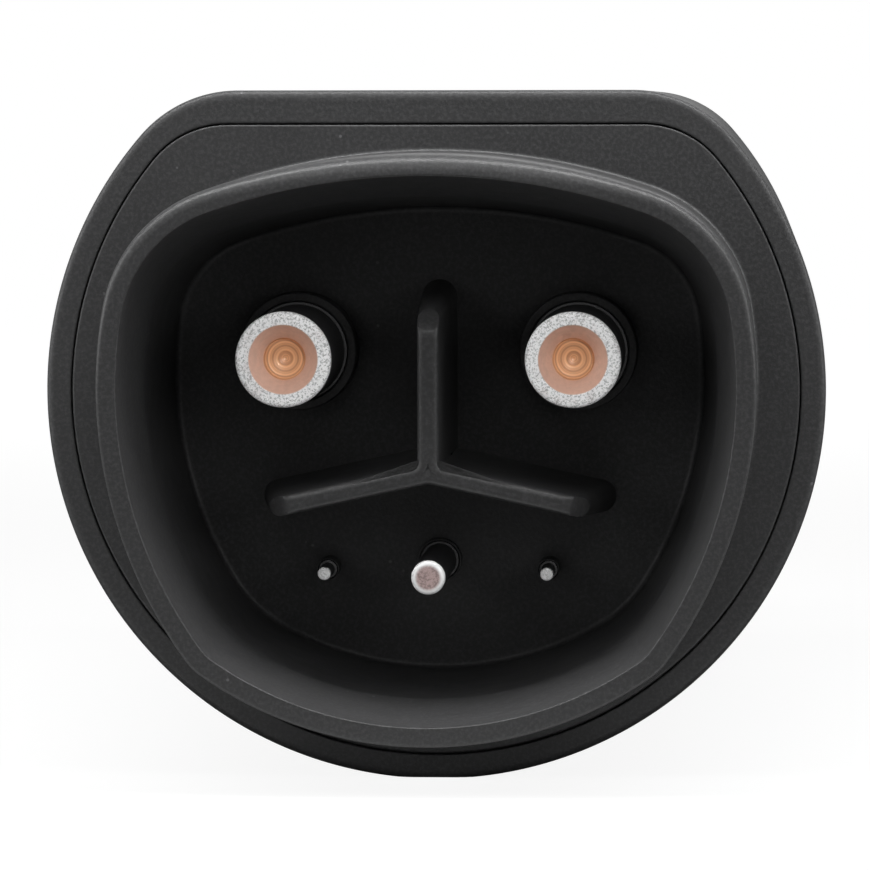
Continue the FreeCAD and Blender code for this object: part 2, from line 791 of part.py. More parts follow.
def board_resistors():
    """Two chip resistors of the latch circuit."""
    y = board_y + board_length / 3
    chips = []
    for side in (-1, 1):
        x = side * resistor_spread
        chips.append(block(x - resistor_width / 2, x + resistor_width / 2, y - resistor_length / 2,
                           y + resistor_length / 2, board_z, board_z + resistor_height))
    return Part.makeCompound(chips)


def latch_switch():
    """The switch under the latch, with a bore for its plunger."""
    body = block(-switch_width / 2, switch_width / 2, finger_y - switch_depth / 2,
                 finger_y + switch_depth / 2, board_z, board_z + switch_height)
    bore_z = plunger_bottom_z() - latch_drop_at_finger() - plunger_gap
    return solid_of(body.cut(upright(plunger_radius + pin_gap, bore_z, board_z + switch_height, 0, finger_y)))


def latch_drop_at_finger():
    """How far the finger moves down when the latch is pressed fully."""
    return finger_from_pivot * math.sin(math.radians(latch_travel_degrees))


def plunger_bottom_z():
    return finger_z - plunger_gap - plunger_length


def switch_plunger():
    return upright(plunger_radius, plunger_bottom_z(), finger_z - plunger_gap, 0, finger_y)


def jumper_wires():
    """Two straight wires from the board down to the ground and proximity contacts."""
    y = socket_tail_y() + cup_depth / 2
    top = board_z - board_thickness
    ground_top = ground_socket_z + tail_radius(ground_core_radius)
    signal_x = signal_socket_spread + jumper_offset
    signal_tail = tail_radius(signal_core_radius)
    signal_top = signal_socket_z + math.sqrt(signal_tail ** 2 - (jumper_offset - jumper_radius) ** 2)
    return Part.makeCompound([
        upright(jumper_radius, ground_top + pin_gap, top, 0, y),
        upright(jumper_radius, signal_top + pin_gap, top, signal_x, y),
    ])


def carrier_half_width():
    return channel_half_width + carrier_wall


def carrier_screw_places():
    x = carrier_half_width() + carrier_ear / 2
    return [(-x, channel_y + carrier_ear / 2), (x, channel_y + carrier_ear / 2)]


def latch_carrier():
    """The tray under the latch: floor, cheeks with the pivot's holes, and two ears for its screws."""
    outer = carrier_half_width()
    front = channel_y - carrier_wall
    bottom = carrier_floor_z - carrier_floor
    body = block(-outer, outer, front, carrier_end_y, bottom, shell_inner_top_z)
    ears = block(-outer - carrier_ear, outer + carrier_ear, channel_y, channel_y + carrier_ear,
                 shell_inner_top_z - carrier_floor, shell_inner_top_z)
    body = body.fuse(ears)
    body = body.cut(block(-channel_half_width, channel_half_width, channel_y, carrier_end_y,
                          carrier_floor_z, shell_inner_top_z))
    peg = upright(spring_peg_radius, carrier_floor_z, carrier_floor_z + spring_peg_height, 0, spring_y())
    body = body.fuse(peg)
    body = body.cut(upright(plunger_radius + screw_gap, bottom, carrier_floor_z, 0, finger_y))
    body = body.cut(crosswise(pivot_radius + pin_gap, outer, pivot_y, pivot_z))
    for x, y in carrier_screw_places():
        body = body.cut(upright(small_screw_radius + screw_gap, shell_inner_top_z - carrier_floor,
                                shell_inner_top_z, x, y))
    return solid_of(body)


def carrier_screws():
    seat = shell_inner_top_z - carrier_floor
    screws = []
    for x, y in carrier_screw_places():
        shank = upright(small_screw_radius, seat, shell_inner_top_z + carrier_screw_bite, x, y)
        screws.append(shank.fuse(upright(small_head_radius, seat - small_head_height, seat, x, y)))
    return Part.makeCompound([solid_of(shape) for shape in screws])


def spring_y():
    return pivot_y - spring_from_pivot


def latch_lever():
    """The latch: thumb pad with grip grooves, pivot boss, switch finger, arm and hook."""
    front = pivot_y - pad_length
    hook_tip = rear_y + hook_reach
    hook_z = arm_under_z - hook_drop
    side = [
        (front, pad_under_z), (pivot_y - pivot_boss_radius, pad_under_z),
        (pivot_y + pivot_boss_radius, arm_under_z), (hook_tip - hook_length, arm_under_z),
        (hook_tip - hook_length, hook_z), (hook_tip - hook_length / 2, hook_z),
        (hook_tip, arm_under_z), (hook_tip, lever_top_z), (front, lever_top_z),
    ]
    corners = [at(-pad_half_width, y, z) for y, z in side]
    body = Part.Face(Part.makePolygon(corners + corners[:1])).extrude(at(2 * pad_half_width, 0, 0))
    for sign in (-1, 1):
        low, high = sorted((sign * arm_half_width, sign * pad_half_width))
        body = body.cut(block(low, high, rear_y - ledge_length, hook_tip, hook_z, lever_top_z))
    boss = crosswise(pivot_boss_radius, pad_half_width, pivot_y, pivot_z)
    web = block(-pad_half_width, pad_half_width, pivot_y - pivot_boss_radius, pivot_y + pivot_boss_radius,
                pivot_z, pad_under_z)
    finger = block(-finger_width, finger_width, finger_y - finger_width / 2, finger_y + finger_width / 2,
                   finger_z, pad_under_z)
    body = body.fuse([boss, web, finger])
    body = body.cut(crosswise(pivot_radius + pivot_running_gap, pad_half_width, pivot_y, pivot_z))
    for index in range(grip_count):
        y = front + grip_pitch * (index + 1)
        body = body.cut(block(-pad_half_width + grip_pitch, pad_half_width - grip_pitch, y, y + grip_width,
                              lever_top_z - grip_depth, lever_top_z))
    return solid_of(body)


def latch_pivot():
    """The steel pin through the carrier's cheeks."""
    return crosswise(pivot_radius, carrier_half_width(), pivot_y, pivot_z)


def latch_spring():
    """A coil spring between the carrier's floor and the thumb pad."""
    bottom = carrier_floor_z + spring_gap + spring_wire
    height = pad_under_z - spring_gap - spring_wire - bottom
    helix = Part.makeHelix(height / spring_turns, height, spring_radius)
    start = helix.Vertexes[0].Point
    turns = [2 * math.pi * index / spring_wire_sides for index in range(spring_wire_sides + 1)]
    section = Part.makePolygon([start + at(spring_wire * math.cos(turn), 0, spring_wire * math.sin(turn))
                                for turn in turns])
    coil = Part.Wire(helix.Edges).makePipeShell([section], True, True)
    coil.translate(at(0, spring_y(), bottom))
    return coil


def save(name, shape):
    if not shape.isValid():
        raise ValueError(name + " is not a valid solid")
    shape.exportStep(os.path.join("parts", name + ".step"))


def main():
    os.makedirs("parts", exist_ok=True)
    single = [housing_shell, inlet_moulding, inlet_gasket, pin_retainer, pin_screws, core_frame, plug_nose,
              plug_gasket, socket_retainer, socket_screws, tie_screws, circuit_board, board_screws,
              board_resistors, latch_switch, switch_plunger, jumper_wires, latch_carrier, carrier_screws,
              latch_lever, latch_pivot, latch_spring]
    for make in single:
        save(make.__name__, make())
    for name in inlet_pins:
        save(name, inlet_pin(name))
    for name in plug_sockets:
        save(name, plug_socket(name))
    for name in leads:
        save(name, lead(name))


main()
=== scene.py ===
"""Looks of a rigid charging adapter: moulded inlet with its pins, body, latch, plug, and a white studio."""

import math

import bpy
import numpy as np
from mathutils import Matrix, Vector


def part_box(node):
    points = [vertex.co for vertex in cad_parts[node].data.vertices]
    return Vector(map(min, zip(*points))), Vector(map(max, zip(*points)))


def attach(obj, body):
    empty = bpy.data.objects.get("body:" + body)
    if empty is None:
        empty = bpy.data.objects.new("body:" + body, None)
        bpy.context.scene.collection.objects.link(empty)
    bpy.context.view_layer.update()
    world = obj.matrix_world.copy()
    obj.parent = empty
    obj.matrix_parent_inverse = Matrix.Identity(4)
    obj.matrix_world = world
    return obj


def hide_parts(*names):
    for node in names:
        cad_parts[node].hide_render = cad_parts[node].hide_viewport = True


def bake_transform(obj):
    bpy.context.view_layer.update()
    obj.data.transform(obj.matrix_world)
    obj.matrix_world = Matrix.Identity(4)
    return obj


bl_info = {
    "name": "Charging adapter looks",
    "version": (1, 0, 0),
    "blender": (4, 5, 0),
    "location": "3D View > Sidebar > Adapter",
    "description": "Builds the surfaces, finishes and studio of a rigid charging adapter",
    "category": "Add Mesh",
}

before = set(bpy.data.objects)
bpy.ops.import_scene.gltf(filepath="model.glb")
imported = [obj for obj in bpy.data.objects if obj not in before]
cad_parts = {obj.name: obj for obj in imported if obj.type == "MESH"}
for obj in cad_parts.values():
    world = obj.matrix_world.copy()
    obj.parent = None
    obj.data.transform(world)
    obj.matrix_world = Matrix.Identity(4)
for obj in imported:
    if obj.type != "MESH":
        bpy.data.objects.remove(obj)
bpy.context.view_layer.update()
MM = 0.001
TURN = 2.0 * math.pi

# Radius of the circle that stands for the flat top, in metres
FLAT = 100.0
# Faces across the latch's channel, and round the inlet moulding
CHANNEL_RUN = 32
INLET_COLUMNS = 600
# Most of a side that a softened corner may take, and where the ring outside a curve lies
LONGEST_SHARE = 0.94
OUTER_SHARE = 0.15
SHARP_ANGLE = math.radians(35.0)
# Scales of the textures, in waves per metre
MOULDED_GRAIN = 3200.0
METAL_GRAIN = 5200.0
PLATING_GRAIN = 5600.0
TURNED_RINGS = 9000.0
DRILLED_RINGS = 6200.0
# How metallic the dull plating of the pins looks
PIN_METALLIC = 0.05

SHELL_LOW, SHELL_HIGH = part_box("housing_shell")
INLET_LOW, INLET_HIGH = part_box("inlet_moulding")
BODY_RADIUS = (SHELL_HIGH.x - SHELL_LOW.x) / 2.0
# How much the flat underneath takes off the round body
FOOT_FLAT = 0.15 * MM
AXIS_Z = BODY_RADIUS - FOOT_FLAT
LIP_Y = INLET_LOW.y
BACK_Y = INLET_HIGH.y
FACE_Y = SHELL_LOW.y
REAR_Y = SHELL_HIGH.y


def length(name, description, millimetres):
    """A size, kept in metres and shown in the scene's own unit."""
    return bpy.props.FloatProperty(
        name=name, description=description, default=millimetres * MM, unit="LENGTH", precision=5
    )


def colour(name, description, red, green, blue):
    """A colour in linear light."""
    return bpy.props.FloatVectorProperty(
        name=name, description=description, default=(red, green, blue), subtype="COLOR", min=0.0, max=1.0
    )


def angle(name, description, degrees):
    """An angle, kept in radians and shown in the scene's own unit."""
    return bpy.props.FloatProperty(
        name=name, description=description, default=math.radians(degrees), unit="ROTATION", precision=4
    )


def amount(name, description, value):
    """A plain number that is never negative."""
    return bpy.props.FloatProperty(name=name, description=description, default=value, min=0.0, precision=4)


class AdapterBodySizes(bpy.types.PropertyGroup):
    """Sizes of the one-piece body."""

    corner: length("Corner", "Radius of the two upper corners", 11.0)
    top_extra: length("Top wall extra", "How much thicker the wall is at the flat top", 0.7)
    rim_width: length("Rim width", "Width of the rim round each end plate", 2.1)
    rim_round: length("Rim rounding", "Rounding of the rim's outer edge", 0.65)
    gap: length("Parting gap", "Gap between the rim and the face plate", 0.11)
    wall: length("Wall", "Thickness of the body's wall", 2.6)
    ledge: length("Ledge width", "Width of the ledge that carries each end plate", 4.5)
    pocket: length("Pocket depth", "Depth of the pocket for plate and gasket", 3.8)
    ledge_length: length("Ledge length", "Length of the ledge", 3.0)
    channel: length("Channel half width", "Half the width of the latch's channel", 9.6)
    channel_start: length("Channel start", "Where the latch's channel starts along the length", 5.0)


class AdapterShroudSizes(bpy.types.PropertyGroup):
    """Sizes of the shroud and its recess."""

    top_margin: length("Top margin", "From the flat top down to the shroud", 5.2)
    side_margin: length("Side margin", "From the body's side in to the shroud", 5.95)
    bottom_margin: length("Bottom margin", "From the body's bottom up to the shroud", 4.45)
    top_centre: length("Top centre", "Centre of the top arc below the axis", 36.5)
    side_centre: length("Side centre", "Centre of the side arc past the middle", 11.3)
    side_rise: length("Side rise", "Centre of the side arc above the axis", 1.0)
    bottom_centre: length("Bottom centre", "Centre of the bottom arc above the axis", 3.8)
    upper_corner: length("Upper corner", "Radius of the shroud's upper corners", 12.5)
    lower_corner: length("Lower corner", "Radius of the shroud's lower corners", 5.5)
    draft: length("Draft", "How much wider the shroud is at its foot", 0.03)
    foot: length("Foot rounding", "Hollow rounding between shroud and face plate", 0.35)
    lip_round: length("Lip rounding", "Rounding of the lip's outer edge", 0.35)
    lip_round_top: length("Lip rounding at top", "What the lip's rounding gains towards the top", 1.55)
    land: length("Land", "Width of the lip's flat front", 1.65)
    land_top_extra: length("Land extra at top", "What the land gains at the top", 0.2)
    recess_top_extra: length("Recess extra at top", "How much further in the recess starts at the top", 0.45)
    bevel: length("Bevel inset", "From the shroud's outline in to the recess", 3.2)
    bevel_depth: length("Bevel depth", "Depth of the bevel behind the lip", 8.2)
    bevel_round: length("Bevel rounding", "Rounding where the bevel meets the recess wall", 0.45)
    depth: length("Recess depth", "Depth of the recess behind the lip", 23.5)
    recess_draft: length("Recess draft", "How much the recess narrows to its floor", 1.1)
    recess_upper: length("Recess upper corner", "Radius of the recess's upper corners", 9.0)
    recess_lower: length("Recess lower corner", "Radius of the recess's lower corners", 13.0)
    floor_round: length("Floor rounding", "Rounding between recess wall and floor", 0.6)
    plate: length("Plate thickness", "Thickness of the face plate", 3.0)
    cup: length("Cup wall", "Thickness of the recess's wall", 2.2)
    flange: length("Back flange", "Thickness of the flange at the back", 3.0)


class AdapterRibSizes(bpy.types.PropertyGroup):
    """Sizes of the Y-shaped rib in the recess."""

    front: length("Front depth", "Depth of the rib's front behind the lip", 4.5)
    joint: length("Joint", "How far the three arms meet below the axis", 6.4)
    bar_length: length("Bar length", "Length of the upright bar", 13.6)
    bar_width: length("Bar width", "Width of the upright bar at its front", 1.8)
    arm_length: length("Arm length", "Length of each lower arm", 13.5)
    arm_width: length("Arm width", "Width of each lower arm at its front", 1.6)
    draft: length("Draft", "How much wider each side is at the floor", 0.65)
    end_draft: length("End draft", "How much longer each arm is at the floor", 1.4)
    slope: length("End slope", "Length of the slope at each arm's tip", 1.5)
    edge: length("Edge rounding", "Rounding of the front edges", 0.55)
    crook: length("Crook rounding", "Hollow rounding between two arms", 0.5)
    fall: angle("Fall", "How far the two lower arms slope down", 12.4)
    steepness: amount("Steepness", "Depth over length of the slope at each tip", 1.35)


class AdapterPinSizes(bpy.types.PropertyGroup):
    """Sizes of the pins and their collars."""

    power_radius: length("Power pin radius", "Radius of the two large pins", 4.0)
    power_round: length("Power pin rounding", "Rounding of the large pins' front edge", 0.42)
    cone_radius: length("Cone radius", "Radius of the cone at its mouth", 2.9)
    cone_depth: length("Cone depth", "Depth of the cone", 1.7)
    bore_radius: length("Bore radius", "Radius of the bore", 1.75)
    bore_depth: length("Bore depth", "Depth of the bore behind the cone", 0.7)
    power_collar: length("Power collar radius", "Radius of the large collars", 5.06)
    ground_radius: length("Ground pin radius", "Radius of the ground pin", 1.415)
    ground_round: length("Ground pin rounding", "Rounding of the ground pin's front edge", 0.4)
    ground_collar: length("Ground collar radius", "Radius of the ground pin's collar", 1.9)
    signal_radius: length("Signal pin radius", "Radius of the two thin pins", 0.56)
    signal_collar: length("Signal collar radius", "Radius of the thin pins' collars", 0.95)
    collar_height: length("Collar height", "Height of the collars above the floor", 3.2)
    ground_collar_height: length("Ground collar height", "Height of the ground pin's collar", 0.6)
    step: length("Shank step", "How much wider a pin is inside its collar", 0.25)
    gap: length("Collar gap", "Gap between pin and collar", 0.3)
    flange: length("Flange", "Thickness of the pins' flanges", 2.0)
    cup_depth: length("Cup depth", "Depth of the solder cup at a pin's back", 8.0)
    cup_wall: length("Cup wall", "Thickness of the solder cup's wall", 0.8)


class AdapterFinishes(bpy.types.PropertyGroup):
    """Colours of the finishes."""

    body_black: colour("Body plastic", "Black of the one-piece body", 0.052, 0.052, 0.053)
    inlet_black: colour("Inlet plastic", "Black of the inlet moulding", 0.052, 0.052, 0.053)
    plug_black: colour("Plug plastic", "Black of the plug", 0.050, 0.050, 0.051)
    latch_black: colour("Latch plastic", "Black of the latch", 0.054, 0.054, 0.056)
    frame_grey: colour("Frame plastic", "Grey of the inner frame and retainers", 0.16, 0.16, 0.17)
    gasket_black: colour("Gasket rubber", "Black of the gaskets", 0.03, 0.03, 0.03)
    silver: colour("Silver plating", "Plated front of the large pins", 0.93, 0.94, 0.93)
    warm_silver: colour("Warm silver", "Worn plating of the ground and signal pins", 0.34, 0.25, 0.24)
    copper: colour("Copper", "Bare metal in the countersink", 0.72, 0.47, 0.37)
    brass: colour("Brass", "Bare metal in the bore", 0.90, 0.47, 0.25)
    # Painted shade: this near-black on the pins' shanks stands in for the recess's shade on them
    shank: colour("Shank", "Dulled metal of the pins' shanks", 0.02, 0.02, 0.021)
    steel: colour("Screw steel", "Steel of screws, pivot and spring", 0.42, 0.42, 0.43)
    laminate: colour("Board laminate", "Solder mask of the circuit board", 0.03, 0.16, 0.07)
    line_orange: colour("Line insulation", "Insulation of the two line leads", 0.62, 0.17, 0.02)
    ground_green: colour("Ground insulation", "Insulation of the ground lead", 0.06, 0.28, 0.07)
    signal_white: colour("Signal insulation", "Insulation of the thin leads", 0.62, 0.62, 0.58)
    plunger_red: colour("Plunger plastic", "Plastic of the switch's plunger", 0.36, 0.03, 0.02)


class AdapterStage(bpy.types.PropertyGroup):
    """Lamps, floor and camera."""

    lens: amount("Lens", "Focal length in millimetres on a 36 mm sensor", 235.26)
    eye_x: length("Camera across", "Camera's place across the object", 25.92)
    eye_y: length("Camera along", "Camera's place along the object", -540.76)
    eye_z: length("Camera height", "Camera's height above the floor", 57.66)
    yaw: angle("Yaw", "How far the camera turns to the left", 3.0817)
    pitch: angle("Pitch", "How far the camera looks down", 3.372)
    roll: angle("Roll", "How far the camera leans to the left", -0.0892)
    ceiling_lamp: amount("Ceiling lamp", "Power of the strip over the object's front, in watts", 0.83)
    left_ceiling: amount("Left ceiling", "Power of the panel over the object's left, in watts", 0.46)
    right_ceiling: amount("Right ceiling", "Power of the panel over the object's right, in watts", 0.50)
    front_lamp: amount("Front lamp", "Power of the strip high in front, in watts", 0.33)
    left_wall: amount("Left wall", "Power of the lamp on the left, in watts", 0.46)
    right_wall: amount("Right wall", "Power of the lamp on the right, in watts", 0.36)
    left_fill: amount("Left fill", "Power of the lamp in front on the left, in watts", 0.085)
    right_fill: amount("Right fill", "Power of the lamp in front on the right, in watts", 0.08)
    pin_lamp: amount("Pin lamp", "Power of the lamp in front that only the pins catch, in watts", 0.45)
    back_lamp: amount("Back lamp", "Power of the lamp behind the object, in watts", 0.5)
    floor_glow: amount("Floor glow", "How much of the floor's white isn't from the lamps", 0.9)
    seen_white: amount("Seen white", "How bright the backdrop is in the object's reflections", 0.22)
    seen_floor: amount("Seen floor", "How bright the floor in front is in the object's reflections", 1.0)
    bounce: amount("Bounce", "How much light the floor in front throws back", 0.05)


GROUPS = {
    "body": AdapterBodySizes,
    "shroud": AdapterShroudSizes,
    "rib": AdapterRibSizes,
    "pins": AdapterPinSizes,
    "finish": AdapterFinishes,
    "stage": AdapterStage,
}


def sizes(group):
    """One of the add-on's property groups."""
    return getattr(bpy.context.scene, "adapter_" + group)


def axis_of(node):
    """Where a turned CAD node's axis lies, across and up."""
    low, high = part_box(node)
    return (low.x + high.x) / 2.0, (low.z + high.z) / 2.0


# Outlines round the axis


def touching(one, other):
    """Where two circles (x, z, radius) touch, one inside the other: on the line through their centres."""
    large, small = (one, other) if one[2] > other[2] else (other, one)
    scale = large[2] / (large[2] - small[2])
    return (large[0] + (small[0] - large[0]) * scale, large[1] + (small[1] - large[1]) * scale)


def far_meeting(first, first_radius, second, second_radius):
    """Where two circles meet, on the side of the larger x: along the line of centres, then across it."""
    dx, dz = second[0] - first[0], second[1] - first[1]
    distance = math.hypot(dx, dz)
    along = (first_radius**2 - second_radius**2 + distance**2) / (2.0 * distance)
    across = math.sqrt(first_radius**2 - along**2)
    middle = (first[0] + along * dx / distance, first[1] + along * dz / distance)
    return max(
        (middle[0] + sign * across * dz / distance, middle[1] - sign * across * dx / distance)
        for sign in (-1.0, 1.0)
    )


def reach(angles, circles):
    """Distance from the axis to an outline of touching arcs, along each angle.

    On each arc it is the far root of |t d - c| = radius, where d is the direction and c the arc's centre.
    """
    result = np.zeros_like(angles)
    for index, (x, z, radius) in enumerate(circles):
        start = touching(circles[index - 1], circles[index])
        end = touching(circles[index], circles[(index + 1) % len(circles)])
        first = math.atan2(start[1], start[0])
        span = (first - math.atan2(end[1], end[0])) % TURN
        along = x * np.cos(angles) + z * np.sin(angles)
        far = along + np.sqrt(np.maximum(along**2 + radius**2 - x**2 - z**2, 0.0))
        result = np.where((first - angles) % TURN <= span, far, result)
    return result


def body_circles(inset):
    """The body's outline moved inwards: a flat top as a very large circle, two corners, one big circle."""
    body = sizes("body")
    top = inset + body.top_extra * min(inset / body.rim_width, 1.0)
    radius = BODY_RADIUS - inset
    flat = SHELL_HIGH.z - AXIS_Z - top
    corner = body.corner - top
    centre = math.sqrt((radius - corner) ** 2 - (flat - corner) ** 2)
    return [
        (0.0, flat - FLAT, FLAT),
        (centre, flat - corner, corner),
        (0.0, 0.0, radius),
        (-centre, flat - corner, corner),
    ]


def shroud_circles(inset, more_at_top=0.0, corners=None):
    """The shroud's outline moved inwards: wide above and narrower below, of eight arcs."""
    s = sizes("shroud")
    top_radius = SHELL_HIGH.z - AXIS_Z - s.top_margin + s.top_centre - inset - more_at_top
    side_radius = BODY_RADIUS - s.side_margin + s.side_centre - inset
    bottom_radius = BODY_RADIUS - s.bottom_margin + s.bottom_centre - inset
    top = (0.0, -s.top_centre, top_radius)
    side = (-s.side_centre, s.side_rise, side_radius)
    bottom = (0.0, s.bottom_centre, bottom_radius)
    upper, lower = corners or (s.upper_corner - inset, s.lower_corner - inset)
    upper_centre = far_meeting(top[:2], top_radius - upper, side[:2], side_radius - upper)
    lower_centre = far_meeting(side[:2], side_radius - lower, bottom[:2], bottom_radius - lower)
    right = [(*upper_centre, upper), side, (*lower_centre, lower)]
    left = [(-x, z, radius) for x, z, radius in reversed(right)]
    return [top] + right + [bottom] + left


def recess_circles(inset):
    """The recess's outline, with larger lower corners than the shroud has."""
    s = sizes("shroud")
    less = inset - s.bevel
    return shroud_circles(inset, s.recess_top_extra, (s.recess_upper - less, s.recess_lower - less))


# Surfaces


def softened(corners, steps):
    """Rings of a profile carried round an axis, with each corner softened.

    A corner is (distance from the axis at each angle, y, softness). It is replaced by the quadratic curve
    that starts and ends the softness away from it along its two sides. A ring close outside each curve keeps
    the flat parts flat. The result holds, for each ring, the distances and the y values.
    """
    points = [np.stack([np.asarray(r, float), np.full(np.shape(r), float(y))]) for r, y, _ in corners]
    rings = [points[0]]
    for index in range(1, len(points) - 1):
        here = points[index]
        soft = np.asarray(corners[index][2], float)
        if not np.any(soft > 0.0):
            rings.append(here)
            continue
        ends = []
        for other in (points[index - 1], points[index + 1]):
            side = other - here
            share = np.minimum(soft / np.maximum(np.sqrt((side**2).sum(0)), 1e-9), LONGEST_SHARE)
            ends.append((side, share))
        (back, back_share), (onward, onward_share) = ends
        rings.append(here + back * (back_share + OUTER_SHARE * back_share * (1.0 - back_share)))
        for t in np.linspace(0.0, 1.0, steps + 1):
            rings.append(here + back * back_share * (1.0 - t) ** 2 + onward * onward_share * t**2)
        rings.append(here + onward * (onward_share + OUTER_SHARE * onward_share * (1.0 - onward_share)))
    rings.append(points[-1])
    return np.stack(rings)


def carried(rings, angles, x, z):
    """Points (ring, angle, xyz) of rings round an axis along Y: x + r cos a, y, z + r sin a."""
    r, y = rings[:, 0], rings[:, 1]
    return np.stack([x + r * np.cos(angles), y, z + r * np.sin(angles)], axis=-1)


def strip_faces(rows, columns, closed=True):
    """Quads between neighbouring rings, as corner numbers."""
    m, n = np.meshgrid(np.arange(rows - 1), np.arange(columns if closed else columns - 1), indexing="ij")
    nxt = (n + 1) % columns
    here, after = m * columns, (m + 1) * columns
    return np.stack([here + n, here + nxt, after + nxt, after + n], -1).reshape(-1, 4).tolist()


def fan(ring_start, columns, pole, forward):
    """Triangles from one ring to a point."""
    n = np.arange(columns)
    nxt = (n + 1) % columns
    pair = [n, nxt] if forward else [nxt, n]
    return np.stack([pair[0] + ring_start, pair[1] + ring_start, np.full(columns, pole)], -1).tolist()


def closed_form(points):
    """Vertices and faces of a grid (ring, angle, xyz) closed by a point at each end, its faces outwards.

    The sign of the volume, the sum of the triple products of fans of each face, tells which way they face.
    """
    rows, columns = points.shape[:2]
    grid = points.reshape(-1, 3)
    vertices = np.concatenate([grid, points[:1].mean(1), points[-1:].mean(1)])
    faces = strip_faces(rows, columns)
    faces += fan(0, columns, len(grid), False)
    faces += fan((rows - 1) * columns, columns, len(grid) + 1, True)
    return outwards(vertices, faces)


def outwards(vertices, faces):
    """The same form with its faces turned outwards, where the sum of triple products is negative."""
    centred = vertices - vertices.mean(0)
    total = 0.0
    for size in (3, 4):
        corners = np.array([face for face in faces if len(face) == size], int)
        for k in range(1, size - 1):
            if len(corners):
                a, b, c = centred[corners[:, 0]], centred[corners[:, k]], centred[corners[:, k + 1]]
                total += float(np.einsum("ij,ij->i", a, np.cross(b, c)).sum())
    if total < 0.0:
        faces = [face[::-1] for face in faces]
    return vertices, faces


def turned(x, z, profile, columns, steps=5):
    """A turned form about an axis along Y, from corners (radius, y, softness) of its half section."""
    angles = np.arange(columns) * TURN / columns
    corners = [(np.full(columns, radius), y, soft) for radius, y, soft in profile]
    return closed_form(carried(softened(corners, steps), angles, x, z))


def add_piece(name, forms, material, nodes):
    """One object from closed forms, smooth but for its sharp edges, riding on the housing."""
    vertices, faces, start = [], [], 0
    for form_vertices, form_faces in forms:
        vertices.append(form_vertices)
        faces += [[corner + start for corner in face] for face in form_faces]
        start += len(form_vertices)
    mesh = bpy.data.meshes.new(name)
    mesh.from_pydata(np.concatenate(vertices).tolist(), [], faces)
    mesh.polygons.foreach_set("use_smooth", [True] * len(mesh.polygons))
    mesh.set_sharp_from_angle(angle=SHARP_ANGLE)
    mesh.materials.append(material)
    piece = bpy.data.objects.new(name, mesh)
    bpy.context.scene.collection.objects.link(piece)
    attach(piece, "housing")
    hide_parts(*nodes)


# Finishes


class Shade:
    """A node's output. Sums, differences and products of it add Math nodes to its tree."""

    def __init__(self, socket):
        self.socket = socket

    def math(self, operation, first, second=None):
        inputs = {0: first} if second is None else {0: first, 1: second}
        return add_node(self.socket.id_data, "ShaderNodeMath", {"operation": operation}, inputs)

    def __add__(self, other):
        return self.math("ADD", self, other)

    __radd__ = __add__

    def __sub__(self, other):
        return self.math("SUBTRACT", self, other)

    def __rsub__(self, other):
        return self.math("SUBTRACT", other, self)

    def __mul__(self, other):
        return self.math("MULTIPLY", self, other)

    __rmul__ = __mul__

    def __abs__(self):
        return self.math("ABSOLUTE", self)

    def between(self, low, high):
        """Zero below low, one above high, smooth between."""
        settings = {"interpolation_type": "SMOOTHSTEP", "clamp": True}
        inputs = {"Value": self, "From Min": low, "From Max": high}
        return add_node(self.socket.id_data, "ShaderNodeMapRange", settings, inputs)


def add_node(tree, kind, settings=None, inputs=None, output=0):
    """Adds a node of this kind, sets its settings, then the values or links of its inputs."""
    node = tree.nodes.new(kind)
    for key, value in (settings or {}).items():
        setattr(node, key, value)
    for key, value in (inputs or {}).items():
        if isinstance(value, Shade):
            tree.links.new(value.socket, node.inputs[key])
        else:
            node.inputs[key].default_value = value
    return Shade(node.outputs[output])


def new_finish(name):
    """A material with its shader, and the tree to paint it in."""
    material = bpy.data.materials.new(name)
    material.use_nodes = True
    tree = material.node_tree
    return material, tree, tree.nodes["Principled BSDF"]


def place_of(tree):
    """Object coordinates, and their three parts."""
    place = add_node(tree, "ShaderNodeTexCoord", output=3)
    parts = [add_node(tree, "ShaderNodeSeparateXYZ", None, {0: place}, axis) for axis in range(3)]
    return place, parts


def noise(tree, place, scale, detail=2.0, rough=0.5):
    """Even noise, about 0.5 on average. The scale is in waves per metre."""
    inputs = {"Vector": place, "Scale": scale, "Detail": detail, "Roughness": rough}
    return add_node(tree, "ShaderNodeTexNoise", None, inputs)


def rings_of(tree, along, scale):
    """Noise that changes with one number alone. The scale is in waves per metre."""
    inputs = {"W": along, "Scale": scale, "Detail": 2.0}
    return add_node(tree, "ShaderNodeTexNoise", {"noise_dimensions": "1D"}, inputs)


def mixed(tree, share, one, other):
    """A colour between two colours."""
    return add_node(tree, "ShaderNodeMix", {"data_type": "RGBA"}, {"Factor": share, 6: one, 7: other}, 2)


def tinted(tree, share, tint, first, last):
    """A colour times the first number where the share is zero, and times the last where it is one."""
    return mixed(tree, share, rgba(tint, first), rgba(tint, last))


def bumped(tree, height, distance):
    """A normal from a height. The distance is in metres for a height of one."""
    return add_node(tree, "ShaderNodeBump", None, {"Height": height, "Distance": distance, "Strength": 1.0})


def wire(tree, shader, **links):
    """Links what varies to the shader's sockets, named with underscores for spaces."""
    for key, value in links.items():
        tree.links.new(value.socket, shader.inputs[key.replace("_", " ")])


def rgba(value, gain=1.0):
    """A colour with its alpha, made lighter or darker."""
    return tuple(min(channel * gain, 1.0) for channel in value) + (1.0,)


